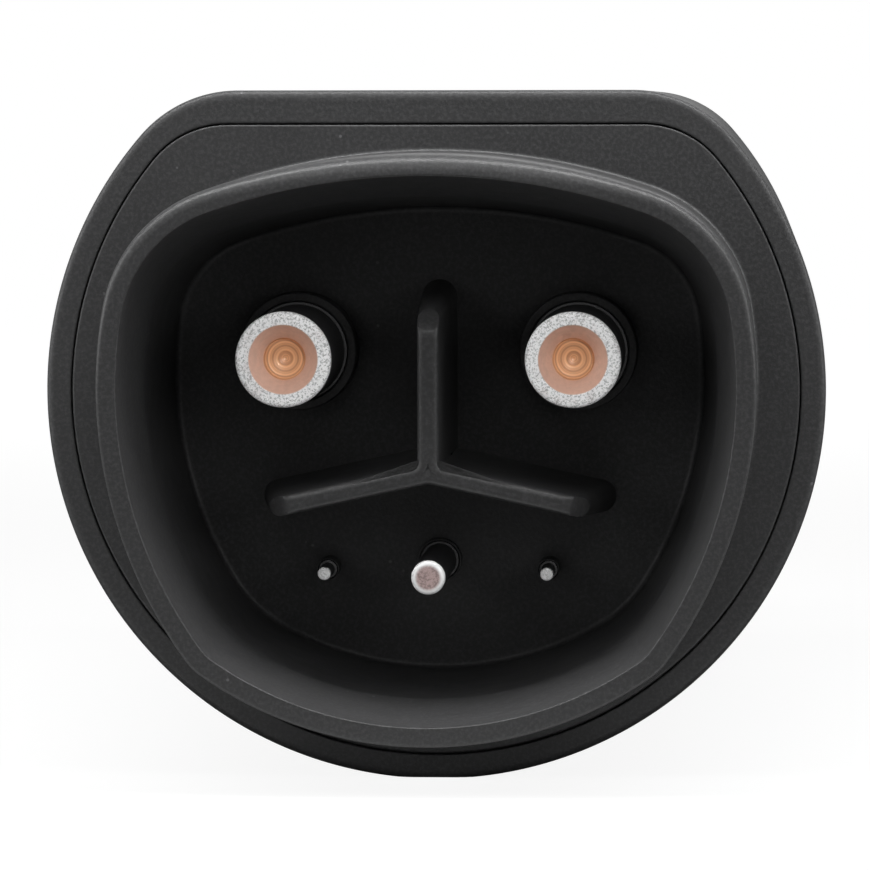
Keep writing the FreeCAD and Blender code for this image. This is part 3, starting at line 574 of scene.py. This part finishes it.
def moulded_plastic(name, tint, gloss, specks=False):
    """Moulded plastic: fine eroded grain, faint flow patches, and if wanted a few pale specks of dust."""
    material, tree, shader = new_finish(name)
    place, _ = place_of(tree)
    patches = noise(tree, place, 70.0, 3.0, 0.55)
    cloud = noise(tree, place, 520.0, 4.0, 0.6)
    fine = noise(tree, place, MOULDED_GRAIN, 3.0, 0.65)
    pits = noise(tree, place, MOULDED_GRAIN * 0.42, 2.0, 0.5)
    base = tinted(tree, patches, tint, 0.76, 1.1)
    base = mixed(tree, fine.between(0.4, 0.7) * 0.5, base, rgba(tint, 2.0))
    if specks:
        inputs = {"Vector": place, "Scale": 900.0, "Randomness": 1.0}
        dots = add_node(tree, "ShaderNodeTexVoronoi", {"feature": "F1"}, inputs)
        scarce = noise(tree, place, 330.0, 1.0, 0.4).between(0.66, 0.72)
        speck = (1.0 - dots.between(0.08, 0.16)) * scarce
        base = mixed(tree, speck * 0.55, base, (0.24, 0.24, 0.245, 1.0))
    rough = gloss + (cloud - 0.5) * 0.14 + (fine - 0.5) * 0.10
    normal = bumped(tree, fine * 0.65 + pits * 0.35, 0.034 * MM)
    wire(tree, shader, Base_Color=base, Roughness=rough, Normal=normal)
    return material


def dusty_plastic(name, tint, gloss):
    """Moulded plastic with specks of dust on it, as on the outer pieces."""
    return moulded_plastic(name, tint, gloss, True)


def plain_rubber(name, tint, rough):
    """Matt rubber with a faint bloom."""
    material, tree, shader = new_finish(name)
    place, _ = place_of(tree)
    bloom = noise(tree, place, 240.0, 4.0, 0.6)
    base = tinted(tree, bloom, tint, 0.8, 1.5)
    wire(tree, shader, Base_Color=base, Roughness=rough + (bloom - 0.5) * 0.2)
    wire(tree, shader, Normal=bumped(tree, noise(tree, place, METAL_GRAIN), 0.012 * MM))
    return material


def machined_metal(name, tint, rough):
    """Turned metal: fine rings along the length and a sandy grain."""
    material, tree, shader = new_finish(name)
    place, parts = place_of(tree)
    grain = noise(tree, place, METAL_GRAIN, 3.0, 0.7)
    stains = noise(tree, place, 420.0, 3.0, 0.55)
    height = grain * 0.5 + rings_of(tree, parts[1], TURNED_RINGS) * 0.5
    base = tinted(tree, stains, tint, 0.82, 1.12)
    wire(tree, shader, Base_Color=base, Roughness=rough + (grain - 0.5) * 0.22)
    wire(tree, shader, Normal=bumped(tree, height, 0.006 * MM))
    shader.inputs["Metallic"].default_value = 1.0
    return material


def round_pin(node, parts):
    """Distance from a pin's axis and depth behind its tip. It holds for the pin on the other side too."""
    x, z = axis_of(node)
    across = abs(parts[0]) - x
    up = parts[2] - z
    squares = across * across + up * up
    return squares.math("SQRT", squares), parts[1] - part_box(node)[0].y


def plated_pin_metal():
    """Large pin: sandy silver on the face, a copper-pink cone, and a brassy bore with the drill's rings."""
    finish, pin = sizes("finish"), sizes("pins")
    material, tree, shader = new_finish("large_pin_plating")
    place, parts = place_of(tree)
    radius, depth = round_pin("power_pin_right", parts)
    sand = noise(tree, place, PLATING_GRAIN, 3.0, 0.75)
    stains = noise(tree, place, 620.0, 3.0, 0.6)
    worm = noise(tree, place, 2600.0, 2.0, 0.6)
    rings = rings_of(tree, radius + parts[1] * 0.8, DRILLED_RINGS)
    silver = tinted(tree, sand.between(0.40, 0.52), finish.silver, 0.5, 1.3)
    silver = mixed(tree, stains.between(0.5, 0.72) * 0.25, silver, rgba(finish.warm_silver, 1.3))
    copper = tinted(tree, worm, finish.copper, 0.86, 1.16)
    brass = tinted(tree, rings.between(0.35, 0.65), finish.brass, 0.72, 1.25)
    cone = 1.0 - radius.between(pin.cone_radius - 0.08 * MM, pin.cone_radius + 0.04 * MM)
    bore = 1.0 - radius.between(pin.bore_radius - 0.02 * MM, pin.bore_radius + 0.06 * MM)
    base = mixed(tree, bore, mixed(tree, cone, silver, copper), brass)
    # Painted shade on the pin's outside behind the tip
    base = painted_shank_shade(tree, base, depth, radius.between(pin.power_radius - 0.25 * MM, pin.power_radius))
    rough = 0.52 + (sand - 0.5) * 0.3 - cone * 0.08 - bore * 0.10
    height = sand * (1.0 - cone) + rings * bore + worm * cone * (1.0 - bore) * 0.4
    wire(tree, shader, Base_Color=base, Roughness=rough, Normal=bumped(tree, height, 0.055 * MM))
    shader.inputs["Metallic"].default_value = PIN_METALLIC
    return material


def painted_shank_shade(tree, base, depth, outside):
    """A pin's colour with painted shade on its outside from about half a millimetre behind the tip: the shank
    colour stands in for the recess's shade on it.
    """
    share = depth.between(0.35 * MM, 0.9 * MM) * outside
    return mixed(tree, share, base, rgba(sizes("finish").shank))


def solid_pin_metal(name, node, tip, tint):
    """Ground or signal pin of radius tip: a worn, sandy face of this tint inside a bright silver rounded
    edge, which is partly plating and partly a painted highlight.
    """
    material, tree, shader = new_finish(name)
    place, parts = place_of(tree)
    radius, depth = round_pin(node, parts)
    sand = noise(tree, place, METAL_GRAIN, 3.0, 0.75)
    worm = noise(tree, place, 2400.0, 3.0, 0.6)
    # The bright silver edge ring is partly plating and partly a painted highlight on the rounded edge
    edge = tinted(tree, worm, sizes("finish").silver, 0.85, 1.1)
    worn = tinted(tree, sand.between(0.40, 0.58), tint, 0.72, 1.3)
    base = mixed(tree, 1.0 - radius.between(0.6 * tip, 0.85 * tip), edge, worn)
    # Painted shade on the pin's outside behind the tip
    base = painted_shank_shade(tree, base, depth, radius.between(0.9 * tip, 0.98 * tip))
    wire(tree, shader, Base_Color=base, Roughness=0.5 + (sand - 0.5) * 0.3)
    wire(tree, shader, Normal=bumped(tree, sand * 0.6 + worm * 0.4, 0.03 * MM))
    shader.inputs["Metallic"].default_value = PIN_METALLIC
    return material


def add_spring():
    """The latch's spring as a piece of its own, in its finish, in place of its CAD node."""
    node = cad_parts["latch_spring"]
    mesh = node.data.copy()
    mesh.transform(node.matrix_world)
    coil = bpy.data.objects.new("latch_coil", mesh)
    bpy.context.scene.collection.objects.link(coil)
    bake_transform(coil)
    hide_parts("latch_spring")


# Forms of the pieces


def rib_outline():
    """Points, outward normals, arm directions, half widths and end shares round the Y-shaped rib.

    Each arm gives two straight sides and a half circle at its tip. Two neighbouring arms are joined by an arc
    about the point that lies the crook's radius off both their sides.
    """
    rib = sizes("rib")
    arms = []
    for heading, span, width in (
        (-rib.fall, rib.arm_length, rib.arm_width),
        (math.pi / 2.0, rib.bar_length, rib.bar_width),
        (math.pi + rib.fall, rib.arm_length, rib.arm_width),
    ):
        arms.append((np.array([math.cos(heading), math.sin(heading)]), span, width / 2.0, heading))
    rows = []
    for index, (way, span, half, heading) in enumerate(arms):
        other_way, other_span, other_half, _ = arms[(index + 1) % 3]
        left = np.array([-way[1], way[0]])
        other_right = np.array([other_way[1], -other_way[0]])
        corner = np.linalg.solve(np.array([left, other_right]), [half + rib.crook, other_half + rib.crook])
        start = float((corner - left * rib.crook) @ way)
        end = float((corner - other_right * rib.crook) @ other_way)
        tip = way * (span - half)
        for turn in np.linspace(-math.pi / 2.0, math.pi / 2.0, 17):
            normal = np.array([math.cos(heading + turn), math.sin(heading + turn)])
            rows.append((tip + normal * half, normal, way, half, 1.0))
        for share in np.linspace(1.0, 0.0, 25)[1:]:
            along = start + (span - half - start) * share
            rows.append((way * along + left * half, left, way, half, share))
        first = math.atan2(left[1], left[0])
        sweep = (math.atan2(other_right[1], other_right[0]) - first + math.pi) % TURN - math.pi
        for share in np.linspace(0.0, 1.0, 7)[1:-1]:
            normal = np.array([math.cos(first + sweep * share), math.sin(first + sweep * share)])
            arm = way if share < 0.5 else other_way
            rows.append((corner - normal * rib.crook, normal, arm, half + (other_half - half) * share, 0.0))
        for share in np.linspace(0.0, 1.0, 25)[:-1]:
            along = end + (other_span - other_half - end) * share
            point = other_way * along + other_right * other_half
            rows.append((point, other_right, other_way, other_half, share))
    return [np.array([row[k] for row in rows]) for k in range(5)]


def rib_form():
    """The rib: its outline is moved out by the draft towards the floor, and in round the front edge.

    Depth is at least that of the slope at each tip. The last ring lies on the arms' middle lines.
    """
    rib, s = sizes("rib"), sizes("shroud")
    points, normals, ways, halves, shares = rib_outline()
    front, floor = rib.front, s.depth
    root, blend = floor + 0.3 * MM, 0.25 * MM
    spans = np.where(np.abs(ways[:, 0]) < 0.1, rib.bar_length, rib.arm_length)
    levels = [(rib.draft, root, 0.0)]
    for share in (1.0, 0.97, 0.6, 0.3, 0.12, 0.04, 0.0):
        levels.append((rib.draft * share, front + rib.edge + (floor - front - rib.edge) * share, 0.0))
    for turn in np.linspace(0.0, math.pi / 2.0, 6)[1:]:
        levels.append((-rib.edge * (1.0 - math.cos(turn)), front + rib.edge * (1.0 - math.sin(turn)), 0.0))
    for inward in (0.1, 0.5, 1.0):
        levels.append((-rib.edge, front, inward))
    rings = []
    for offset, depth, inward in levels:
        out = np.where(inward > 0.0, offset - (halves + offset) * inward, offset)
        here = points + normals * out[:, None]
        longer = (depth - front) / (floor - front) * rib.end_draft * shares
        here = here + ways * longer[:, None]
        past = (here * ways).sum(1) - (spans - rib.slope)
        sunk = np.sqrt(past**2 + blend**2) / 2.0 + past / 2.0
        deep = np.minimum(np.maximum(depth, front + rib.steepness * sunk), root)
        rings.append(np.stack([here[:, 0], LIP_Y + deep, AXIS_Z - rib.joint + here[:, 1]], -1))
    return closed_form(np.stack(rings))


def inlet_forms():
    """The inlet moulding: one profile from its back over plate, shroud, lip, bevel and recess to the floor,
    the rib, and a collar round each pin.
    """
    s, body, pins = sizes("shroud"), sizes("body"), sizes("pins")
    edge = 0.3 * MM
    angles = np.arange(INLET_COLUMNS) * TURN / INLET_COLUMNS
    plate = reach(angles, body_circles(body.rim_width + body.gap))
    back = reach(angles, body_circles(body.ledge + 0.2 * MM))
    cup = reach(angles, recess_circles(s.bevel + s.recess_draft - s.cup))
    upward = np.maximum(np.sin(angles), 0.0) ** 1.5
    floor_y = LIP_Y + s.depth
    corners = [
        (back * 0.04, BACK_Y, 0.0),
        (back, BACK_Y, edge),
        (back, BACK_Y - s.flange, edge),
        (cup, BACK_Y - s.flange, edge),
        (cup, FACE_Y + s.plate, edge),
        (plate, FACE_Y + s.plate, 0.2 * MM),
        (plate, FACE_Y, 0.22 * MM),
        (reach(angles, shroud_circles(-s.draft)), FACE_Y, s.foot),
        (reach(angles, shroud_circles(0.0)), LIP_Y, s.lip_round + s.lip_round_top * upward),
        (reach(angles, shroud_circles(s.land, s.land_top_extra)), LIP_Y, 0.12 * MM),
        (reach(angles, recess_circles(s.bevel)), LIP_Y + s.bevel_depth, s.bevel_round),
        (reach(angles, recess_circles(s.bevel + s.recess_draft)), floor_y, s.floor_round),
        (np.full(INLET_COLUMNS, 0.5 * MM), floor_y, 0.0),
    ]
    forms = [closed_form(carried(softened(corners, 8), angles, 0.0, AXIS_Z)), rib_form()]
    for node, radius, collar, height in pin_places():
        hole = radius + pins.gap
        soft = min(0.18 * MM, (collar - hole) / 3.0)
        front = floor_y - height
        profile = [
            (0.0, front + 1.4 * MM, 0.0),
            (hole, front + 1.4 * MM, 0.0),
            (hole, front, soft),
            (collar, front, soft),
            (collar, floor_y, soft),
            (collar + edge, floor_y + edge, 0.0),
            (0.0, floor_y + 1.7 * MM, 0.0),
        ]
        forms.append(turned(*axis_of(node), profile, 128))
    return forms


def pin_places():
    """Each pin's node, radius, collar radius and collar height."""
    p = sizes("pins")
    return [
        ("power_pin_left", p.power_radius, p.power_collar, p.collar_height),
        ("power_pin_right", p.power_radius, p.power_collar, p.collar_height),
        ("ground_pin", p.ground_radius, p.ground_collar, p.ground_collar_height),
        ("pilot_pin", p.signal_radius, p.signal_collar, p.collar_height),
        ("proximity_pin", p.signal_radius, p.signal_collar, p.collar_height),
    ]


def pin_form(node, radius, height):
    """A turned pin: solder cup, flange, shank, rounded tip, and in the large pins a cone and a bore."""
    p, s = sizes("pins"), sizes("shroud")
    low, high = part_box(node)
    flange = (high.x - low.x) / 2.0
    large = radius == p.power_radius
    tail = flange - (3.0 if large else 1.5) * MM
    tip, end = low.y, high.y
    shank, collar_y = radius + p.step, LIP_Y + s.depth - height
    soft = p.power_round if large else min(p.ground_round, radius * 0.4)
    profile = [
        (0.0, end - p.cup_depth, 0.0),
        (tail - p.cup_wall, end - p.cup_depth, 0.2 * MM),
        (tail - p.cup_wall, end, 0.05 * MM),
        (tail, end, 0.05 * MM),
        (tail, BACK_Y, 0.1 * MM),
        (flange, BACK_Y, 0.2 * MM),
        (flange, BACK_Y - p.flange, 0.2 * MM),
        (shank, BACK_Y - p.flange, 0.1 * MM),
        (shank, collar_y, 0.1 * MM),
        (radius, collar_y, 0.1 * MM),
        (radius, tip, soft),
    ]
    if large:
        bore_y = tip + p.cone_depth
        profile += [
            (p.cone_radius, tip, 0.09 * MM),
            (p.bore_radius, bore_y, 0.1 * MM),
            (p.bore_radius, bore_y + p.bore_depth, 0.12 * MM),
            (0.02 * MM, bore_y + p.bore_depth + 0.9 * MM, 0.0),
        ]
    else:
        profile += [(0.02 * MM, tip, 0.0)]
    return turned(*axis_of(node), profile, 160 if large else 96, 7)


def shell_outline(inset):
    """Points round the body's wall: flat top in three runs, a corner, the big arc, and the other corner."""
    b = sizes("body")
    corner, big = body_circles(inset)[1:3]
    top = corner[1] + corner[2]
    centre, low = corner[0], corner[1]
    end = math.atan2(*touching(corner, big))
    across = np.linspace(-b.channel, b.channel, CHANNEL_RUN + 1)
    middle = np.stack([across, np.full(CHANNEL_RUN + 1, top)], 1)
    beside = np.stack([np.linspace(b.channel, centre, 13)[1:], np.full(12, top)], 1)
    turn = np.linspace(0.0, end, 33)[1:]
    bend = np.stack([centre + corner[2] * np.sin(turn), low + corner[2] * np.cos(turn)], 1)
    arc = np.linspace(end, TURN - end, 241)[1:-1]
    round_ = np.stack([big[2] * np.sin(arc), big[2] * np.cos(arc)], 1)
    other_side = np.concatenate([beside, bend])[::-1] * [-1.0, 1.0]
    return np.concatenate([middle, beside, bend, round_, other_side])


def shell_end(y, inward):
    """The section of one end of the wall at y, from the inside over ledge, pocket and rim to the outside."""
    b = sizes("body")
    pocket = y + inward * b.pocket
    ledge = pocket + inward * b.ledge_length
    return [
        (b.wall, ledge, 0.0),
        (b.ledge, ledge, 0.0),
        (b.ledge, pocket, 0.0),
        (b.rim_width, pocket, 0.0),
        (b.rim_width, y, 0.14 * MM),
        (0.0, y, b.rim_round),
    ]


def shell_form():
    """The body's wall with the latch's channel open at its rear.

    Corners of its section are (inset, y, softness). The rings between the channel's start and the rear lose
    the faces of the channel's run, and flat walls close its two sides and its front.
    """
    b = sizes("body")
    front = shell_end(FACE_Y, 1.0)
    rear = shell_end(REAR_Y, -1.0)
    section = [(b.wall, b.channel_start, 0.0)] + front + [(0.0, b.channel_start, 0.0)] + rear[::-1]
    looped = section[-1:] + section + section[:1]
    flat_rings = softened([(np.array([inset]), y, soft) for inset, y, soft in looped], 8)[1:-1, :, 0]
    outlines = {}
    for inset in {round(float(inset), 9) for inset, _ in flat_rings}:
        outlines[inset] = shell_outline(max(inset, 0.0))
    grid = []
    for inset, y in flat_rings:
        outline = outlines[round(float(inset), 9)]
        height = np.maximum(AXIS_Z + outline[:, 1], 0.0)
        grid.append(np.stack([outline[:, 0], np.full(len(outline), y), height], 1))
    grid = np.stack(grid)
    rows, columns = grid.shape[:2]
    start_rows = [k for k, (_, y) in enumerate(flat_rings) if abs(y - b.channel_start) < 1e-9]
    inner, outer = start_rows[0], start_rows[-1]
    m, n = np.meshgrid(np.arange(rows), np.arange(columns), indexing="ij")
    after, nxt = (m + 1) % rows, (n + 1) % columns
    quads = np.stack([m * columns + n, m * columns + nxt, after * columns + nxt, after * columns + n], -1)
    faces = quads[(m < outer) | (n >= CHANNEL_RUN)].tolist()
    ring = np.append(np.arange(outer, rows), inner) * columns
    faces += [ring[::-1].tolist(), (ring + CHANNEL_RUN).tolist()]
    run = np.arange(CHANNEL_RUN)
    above, below = outer * columns + run, inner * columns + run
    faces += np.stack([above, above + 1, below + 1, below], -1).tolist()
    return grid.reshape(-1, 3), faces


# Kind of finish, its name, its colour's field, its roughness, and the nodes that get it
FITTINGS = (
    (
        machined_metal,
        "screw_steel_satin",
        "steel",
        0.3,
        "tie_screws pin_screws socket_screws carrier_screws board_screws latch_pivot latch_spring",
    ),
    (
        machined_metal,
        "contact_silver_satin",
        "silver",
        0.35,
        "line_socket_left line_socket_right ground_socket pilot_socket proximity_socket",
    ),
    (dusty_plastic, "plug_moulded_black", "plug_black", 0.40, "plug_nose"),
    (
        dusty_plastic,
        "latch_moulded_black",
        "latch_black",
        0.38,
        "latch_lever latch_carrier latch_switch board_resistors",
    ),
    (moulded_plastic, "frame_moulded_grey", "frame_grey", 0.5, "core_frame pin_retainer socket_retainer"),
    (plain_rubber, "gasket_black_rubber", "gasket_black", 0.72, "inlet_gasket plug_gasket"),
    (moulded_plastic, "line_insulation_orange", "line_orange", 0.45, "line_lead_left line_lead_right"),
    (moulded_plastic, "ground_insulation_green", "ground_green", 0.45, "ground_lead"),
    (
        moulded_plastic,
        "signal_insulation_white",
        "signal_white",
        0.45,
        "pilot_lead proximity_lead jumper_wires",
    ),
    (moulded_plastic, "board_green_laminate", "laminate", 0.25, "circuit_board"),
    (moulded_plastic, "plunger_red_plastic", "plunger_red", 0.35, "switch_plunger"),
)


class AdapterOperator:
    """What the add-on's operators share."""

    bl_options = {"REGISTER", "UNDO"}


class ADAPTER_OT_inlet(AdapterOperator, bpy.types.Operator):
    """Builds the face plate, shroud, recess, rib and collars"""

    bl_idname = "adapter.inlet"
    bl_label = "Inlet moulding"

    def execute(self, context):
        material = dusty_plastic("inlet_moulded_black", sizes("finish").inlet_black, 0.40)
        add_piece("inlet_face", inlet_forms(), material, ["inlet_moulding"])
        return {"FINISHED"}


class ADAPTER_OT_pins(AdapterOperator, bpy.types.Operator):
    """Builds the two large pins, the ground pin and the two signal pins"""

    bl_idname = "adapter.pins"
    bl_label = "Pins"

    def execute(self, context):
        pin, finish = sizes("pins"), sizes("finish")
        large = plated_pin_metal()
        ground = solid_pin_metal("ground_pin_plating", "ground_pin", pin.ground_radius, finish.warm_silver)
        thin = solid_pin_metal("signal_pin_plating", "proximity_pin", pin.signal_radius, finish.silver)
        chosen = {"power_pin_left": large, "power_pin_right": large, "ground_pin": ground}
        for node, radius, _, height in pin_places():
            form = pin_form(node, radius, height)
            add_piece(node + "_turned", [form], chosen.get(node, thin), [node])
        return {"FINISHED"}


class ADAPTER_OT_shell(AdapterOperator, bpy.types.Operator):
    """Builds the one-piece body with the latch's channel"""

    bl_idname = "adapter.shell"
    bl_label = "Body"

    def execute(self, context):
        material = dusty_plastic("body_moulded_black", sizes("finish").body_black, 0.46)
        add_piece("body_shell", [shell_form()], material, ["housing_shell"])
        return {"FINISHED"}


class ADAPTER_OT_fittings(AdapterOperator, bpy.types.Operator):
    """Finishes the plug, the latch and the pieces inside the body"""

    bl_idname = "adapter.fittings"
    bl_label = "Plug, latch and inner pieces"

    def execute(self, context):
        finish = sizes("finish")
        for kind, name, field, rough, nodes in FITTINGS:
            material = kind(name, getattr(finish, field), rough)
            for node in nodes.split():
                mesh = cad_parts[node].data
                mesh.materials.clear()
                mesh.materials.append(material)
        add_spring()
        return {"FINISHED"}


# Each lamp's place, what it faces, its width and its height. The stage has its power under the same name.
MIDDLE = (0.0, -0.07, 0.03)
LAMPS = {
    "ceiling_lamp": ((0.0, -0.11, 0.28), (0.0, -0.1101, 0.0), 0.36, 0.05),
    "left_ceiling": ((-0.28, -0.16, 0.28), (-0.28, -0.1601, 0.0), 0.2, 0.2),
    "right_ceiling": ((0.28, -0.16, 0.28), (0.28, -0.1601, 0.0), 0.2, 0.2),
    "front_lamp": ((0.0, -0.37, 0.28), (0.0, -0.3701, 0.0), 0.36, 0.15),
    "left_wall": ((-0.35, -0.15, 0.12), (0.0, -0.15, 0.1), 0.3, 0.15),
    "right_wall": ((0.35, -0.15, 0.12), (0.0, -0.15, 0.1), 0.3, 0.15),
    "left_fill": ((-0.25, -0.45, 0.12), MIDDLE, 0.2, 0.15),
    "right_fill": ((0.25, -0.45, 0.12), MIDDLE, 0.2, 0.15),
    "pin_lamp": ((0.09, -0.46, 0.14), MIDDLE, 0.08, 0.08),
    "back_lamp": ((0.1, 0.45, 0.4), (0.0, 0.05, 0.03), 0.4, 0.3),
}


def area_lamp(name, power, place, target, width, height):
    """A soft rectangular lamp at a place, facing a target."""
    lamp = bpy.data.lights.new(name, "AREA")
    lamp.shape = "RECTANGLE"
    lamp.size = width
    lamp.size_y = height
    lamp.energy = power
    holder = bpy.data.objects.new(name, lamp)
    bpy.context.scene.collection.objects.link(holder)
    holder.location = place
    holder.rotation_mode = "QUATERNION"
    holder.rotation_quaternion = (Vector(target) - Vector(place)).to_track_quat("-Z", "Y")
    return holder


def sweep_form(half, front, back, bend, height):
    """A studio floor that bends up into a backdrop: a straight run, a quarter circle, a straight rise."""
    turn = np.linspace(0.0, math.pi / 2.0, 25)
    y = np.concatenate([[front, 0.0], back - bend + bend * np.sin(turn), [back]])
    z = np.concatenate([[0.0, 0.0], bend - bend * np.cos(turn), [height]])
    x = np.array([-half, 0.0, half])
    grid = np.stack([np.tile(x, (len(y), 1)), np.tile(y[:, None], (1, 3)), np.tile(z[:, None], (1, 3))], -1)
    return grid.reshape(-1, 3), strip_faces(len(y), 3, closed=False)


def seen_rays(tree):
    """Whether a ray is the camera's, and whether it passed a reflection or a transparent piece."""
    camera = add_node(tree, "ShaderNodeLightPath", output=0)
    glossy = add_node(tree, "ShaderNodeLightPath", output=3)
    through = add_node(tree, "ShaderNodeLightPath", output=6)
    return camera, glossy + through


def studio_white():
    """White of the floor and backdrop: mostly its own, so that the object's shadow on it stays pale."""
    stage = sizes("stage")
    glow = stage.floor_glow
    material, tree, shader = new_finish("studio_white")
    camera, mirrored = seen_rays(tree)
    place, parts = place_of(tree)
    far = add_node(tree, "ShaderNodeVectorMath", {"operation": "LENGTH"}, {0: place}, 1).between(0.15, 0.6)
    own = glow + far * (1.0 - glow)
    # The strip of floor close in front of the lip, cut off at the lip's plane as a painted shadow of the
    # object in its reflections and bounce, and the floor behind the object
    lit = parts[1].between(-0.115, -0.085) * (1.0 - parts[1].between(-0.0753, -0.070))
    behind = parts[1].between(0.08, 0.12) * stage.seen_white
    strength = own * (camera + mirrored * (lit * stage.seen_floor + behind) + lit * stage.bounce)
    tree.links.new(strength.socket, shader.inputs["Emission Strength"])
    shade = 1.25 * (1.0 - glow)
    shader.inputs["Base Color"].default_value = (shade, shade, shade, 1.0)
    shader.inputs["Roughness"].default_value = 0.9
    shader.inputs["Specular IOR Level"].default_value = 0.0
    shader.inputs["Emission Color"].default_value = (1.0, 1.0, 1.0, 1.0)
    return material


def studio_air():
    """White all round, with a dark room on the camera's side in the object's reflections."""
    world = bpy.data.worlds.new("studio_air")
    world.use_nodes = True
    tree = world.node_tree
    camera, mirrored = seen_rays(tree)
    back = tree.nodes["Background"]
    back.inputs["Color"].default_value = (1.0, 1.0, 1.0, 1.0)
    way = add_node(tree, "ShaderNodeTexCoord")
    behind = add_node(tree, "ShaderNodeSeparateXYZ", None, {0: way}, 1).between(-0.1, 0.3)
    strength = camera + mirrored * behind * sizes("stage").seen_white
    tree.links.new(strength.socket, back.inputs["Strength"])
    return world


class ADAPTER_OT_stage(AdapterOperator, bpy.types.Operator):
    """Builds the white studio, its lamps and the camera"""

    bl_idname = "adapter.stage"
    bl_label = "Studio and camera"

    def execute(self, context):
        stage = sizes("stage")
        scene = context.scene
        vertices, faces = sweep_form(3.0, -3.0, 2.6, 0.8, 3.0)
        mesh = bpy.data.meshes.new("studio_sweep")
        mesh.from_pydata(vertices.tolist(), [], faces)
        mesh.polygons.foreach_set("use_smooth", [True] * len(mesh.polygons))
        floor = bpy.data.objects.new("studio_sweep", mesh)
        scene.collection.objects.link(floor)
        mesh.materials.append(studio_white())
        scene.world = studio_air()

        lamps = {name: area_lamp(name, getattr(stage, name), *where) for name, where in LAMPS.items()}
        pins = bpy.data.collections.new("lit_pins")
        for place in pin_places():
            pins.objects.link(bpy.data.objects[place[0] + "_turned"])
        lamps["pin_lamp"].light_linking.receiver_collection = pins

        camera = bpy.data.cameras.new("camera")
        camera.lens = stage.lens
        camera.sensor_width = 36.0
        camera.clip_start = 0.01
        holder = bpy.data.objects.new("camera", camera)
        scene.collection.objects.link(holder)
        holder.location = (stage.eye_x, stage.eye_y, stage.eye_z)
        turn = Matrix.Rotation(stage.yaw, 4, "Z") @ Matrix.Rotation(math.pi / 2.0 - stage.pitch, 4, "X")
        holder.rotation_mode = "QUATERNION"
        holder.rotation_quaternion = (turn @ Matrix.Rotation(stage.roll, 4, "Z")).to_quaternion()
        scene.camera = holder
        scene.view_settings.view_transform = "Standard"
        return {"FINISHED"}


class ADAPTER_PT_panel(bpy.types.Panel):
    """The add-on's panel in the 3D view's sidebar."""

    bl_idname = "ADAPTER_PT_panel"
    bl_label = "Charging adapter"
    bl_space_type = "VIEW_3D"
    bl_region_type = "UI"
    bl_category = "Adapter"

    def draw(self, context):
        for operator in OPERATORS:
            self.layout.operator(operator.bl_idname, text=operator.bl_label)
        for name, group in GROUPS.items():
            box = self.layout.box()
            box.label(text=name.capitalize())
            for field in group.__annotations__:
                box.prop(getattr(context.scene, "adapter_" + name), field)


OPERATORS = (ADAPTER_OT_inlet, ADAPTER_OT_pins, ADAPTER_OT_shell, ADAPTER_OT_fittings, ADAPTER_OT_stage)


def register():
    """Registers the classes and hangs each group of settings on the scene."""
    for group in GROUPS.values():
        bpy.utils.register_class(group)
    for name, group in GROUPS.items():
        setattr(bpy.types.Scene, "adapter_" + name, bpy.props.PointerProperty(type=group))
    for operator in OPERATORS:
        bpy.utils.register_class(operator)
    bpy.utils.register_class(ADAPTER_PT_panel)


def unregister():
    """Takes away all that register added."""
    bpy.utils.unregister_class(ADAPTER_PT_panel)
    for operator in reversed(OPERATORS):
        bpy.utils.unregister_class(operator)
    for name, group in GROUPS.items():
        delattr(bpy.types.Scene, "adapter_" + name)
        bpy.utils.unregister_class(group)


def main():
    """Builds the whole scene."""
    register()
    bpy.ops.adapter.inlet()
    bpy.ops.adapter.pins()
    bpy.ops.adapter.shell()
    bpy.ops.adapter.fittings()
    bpy.ops.adapter.stage()


if __name__ == "__main__":
    main()
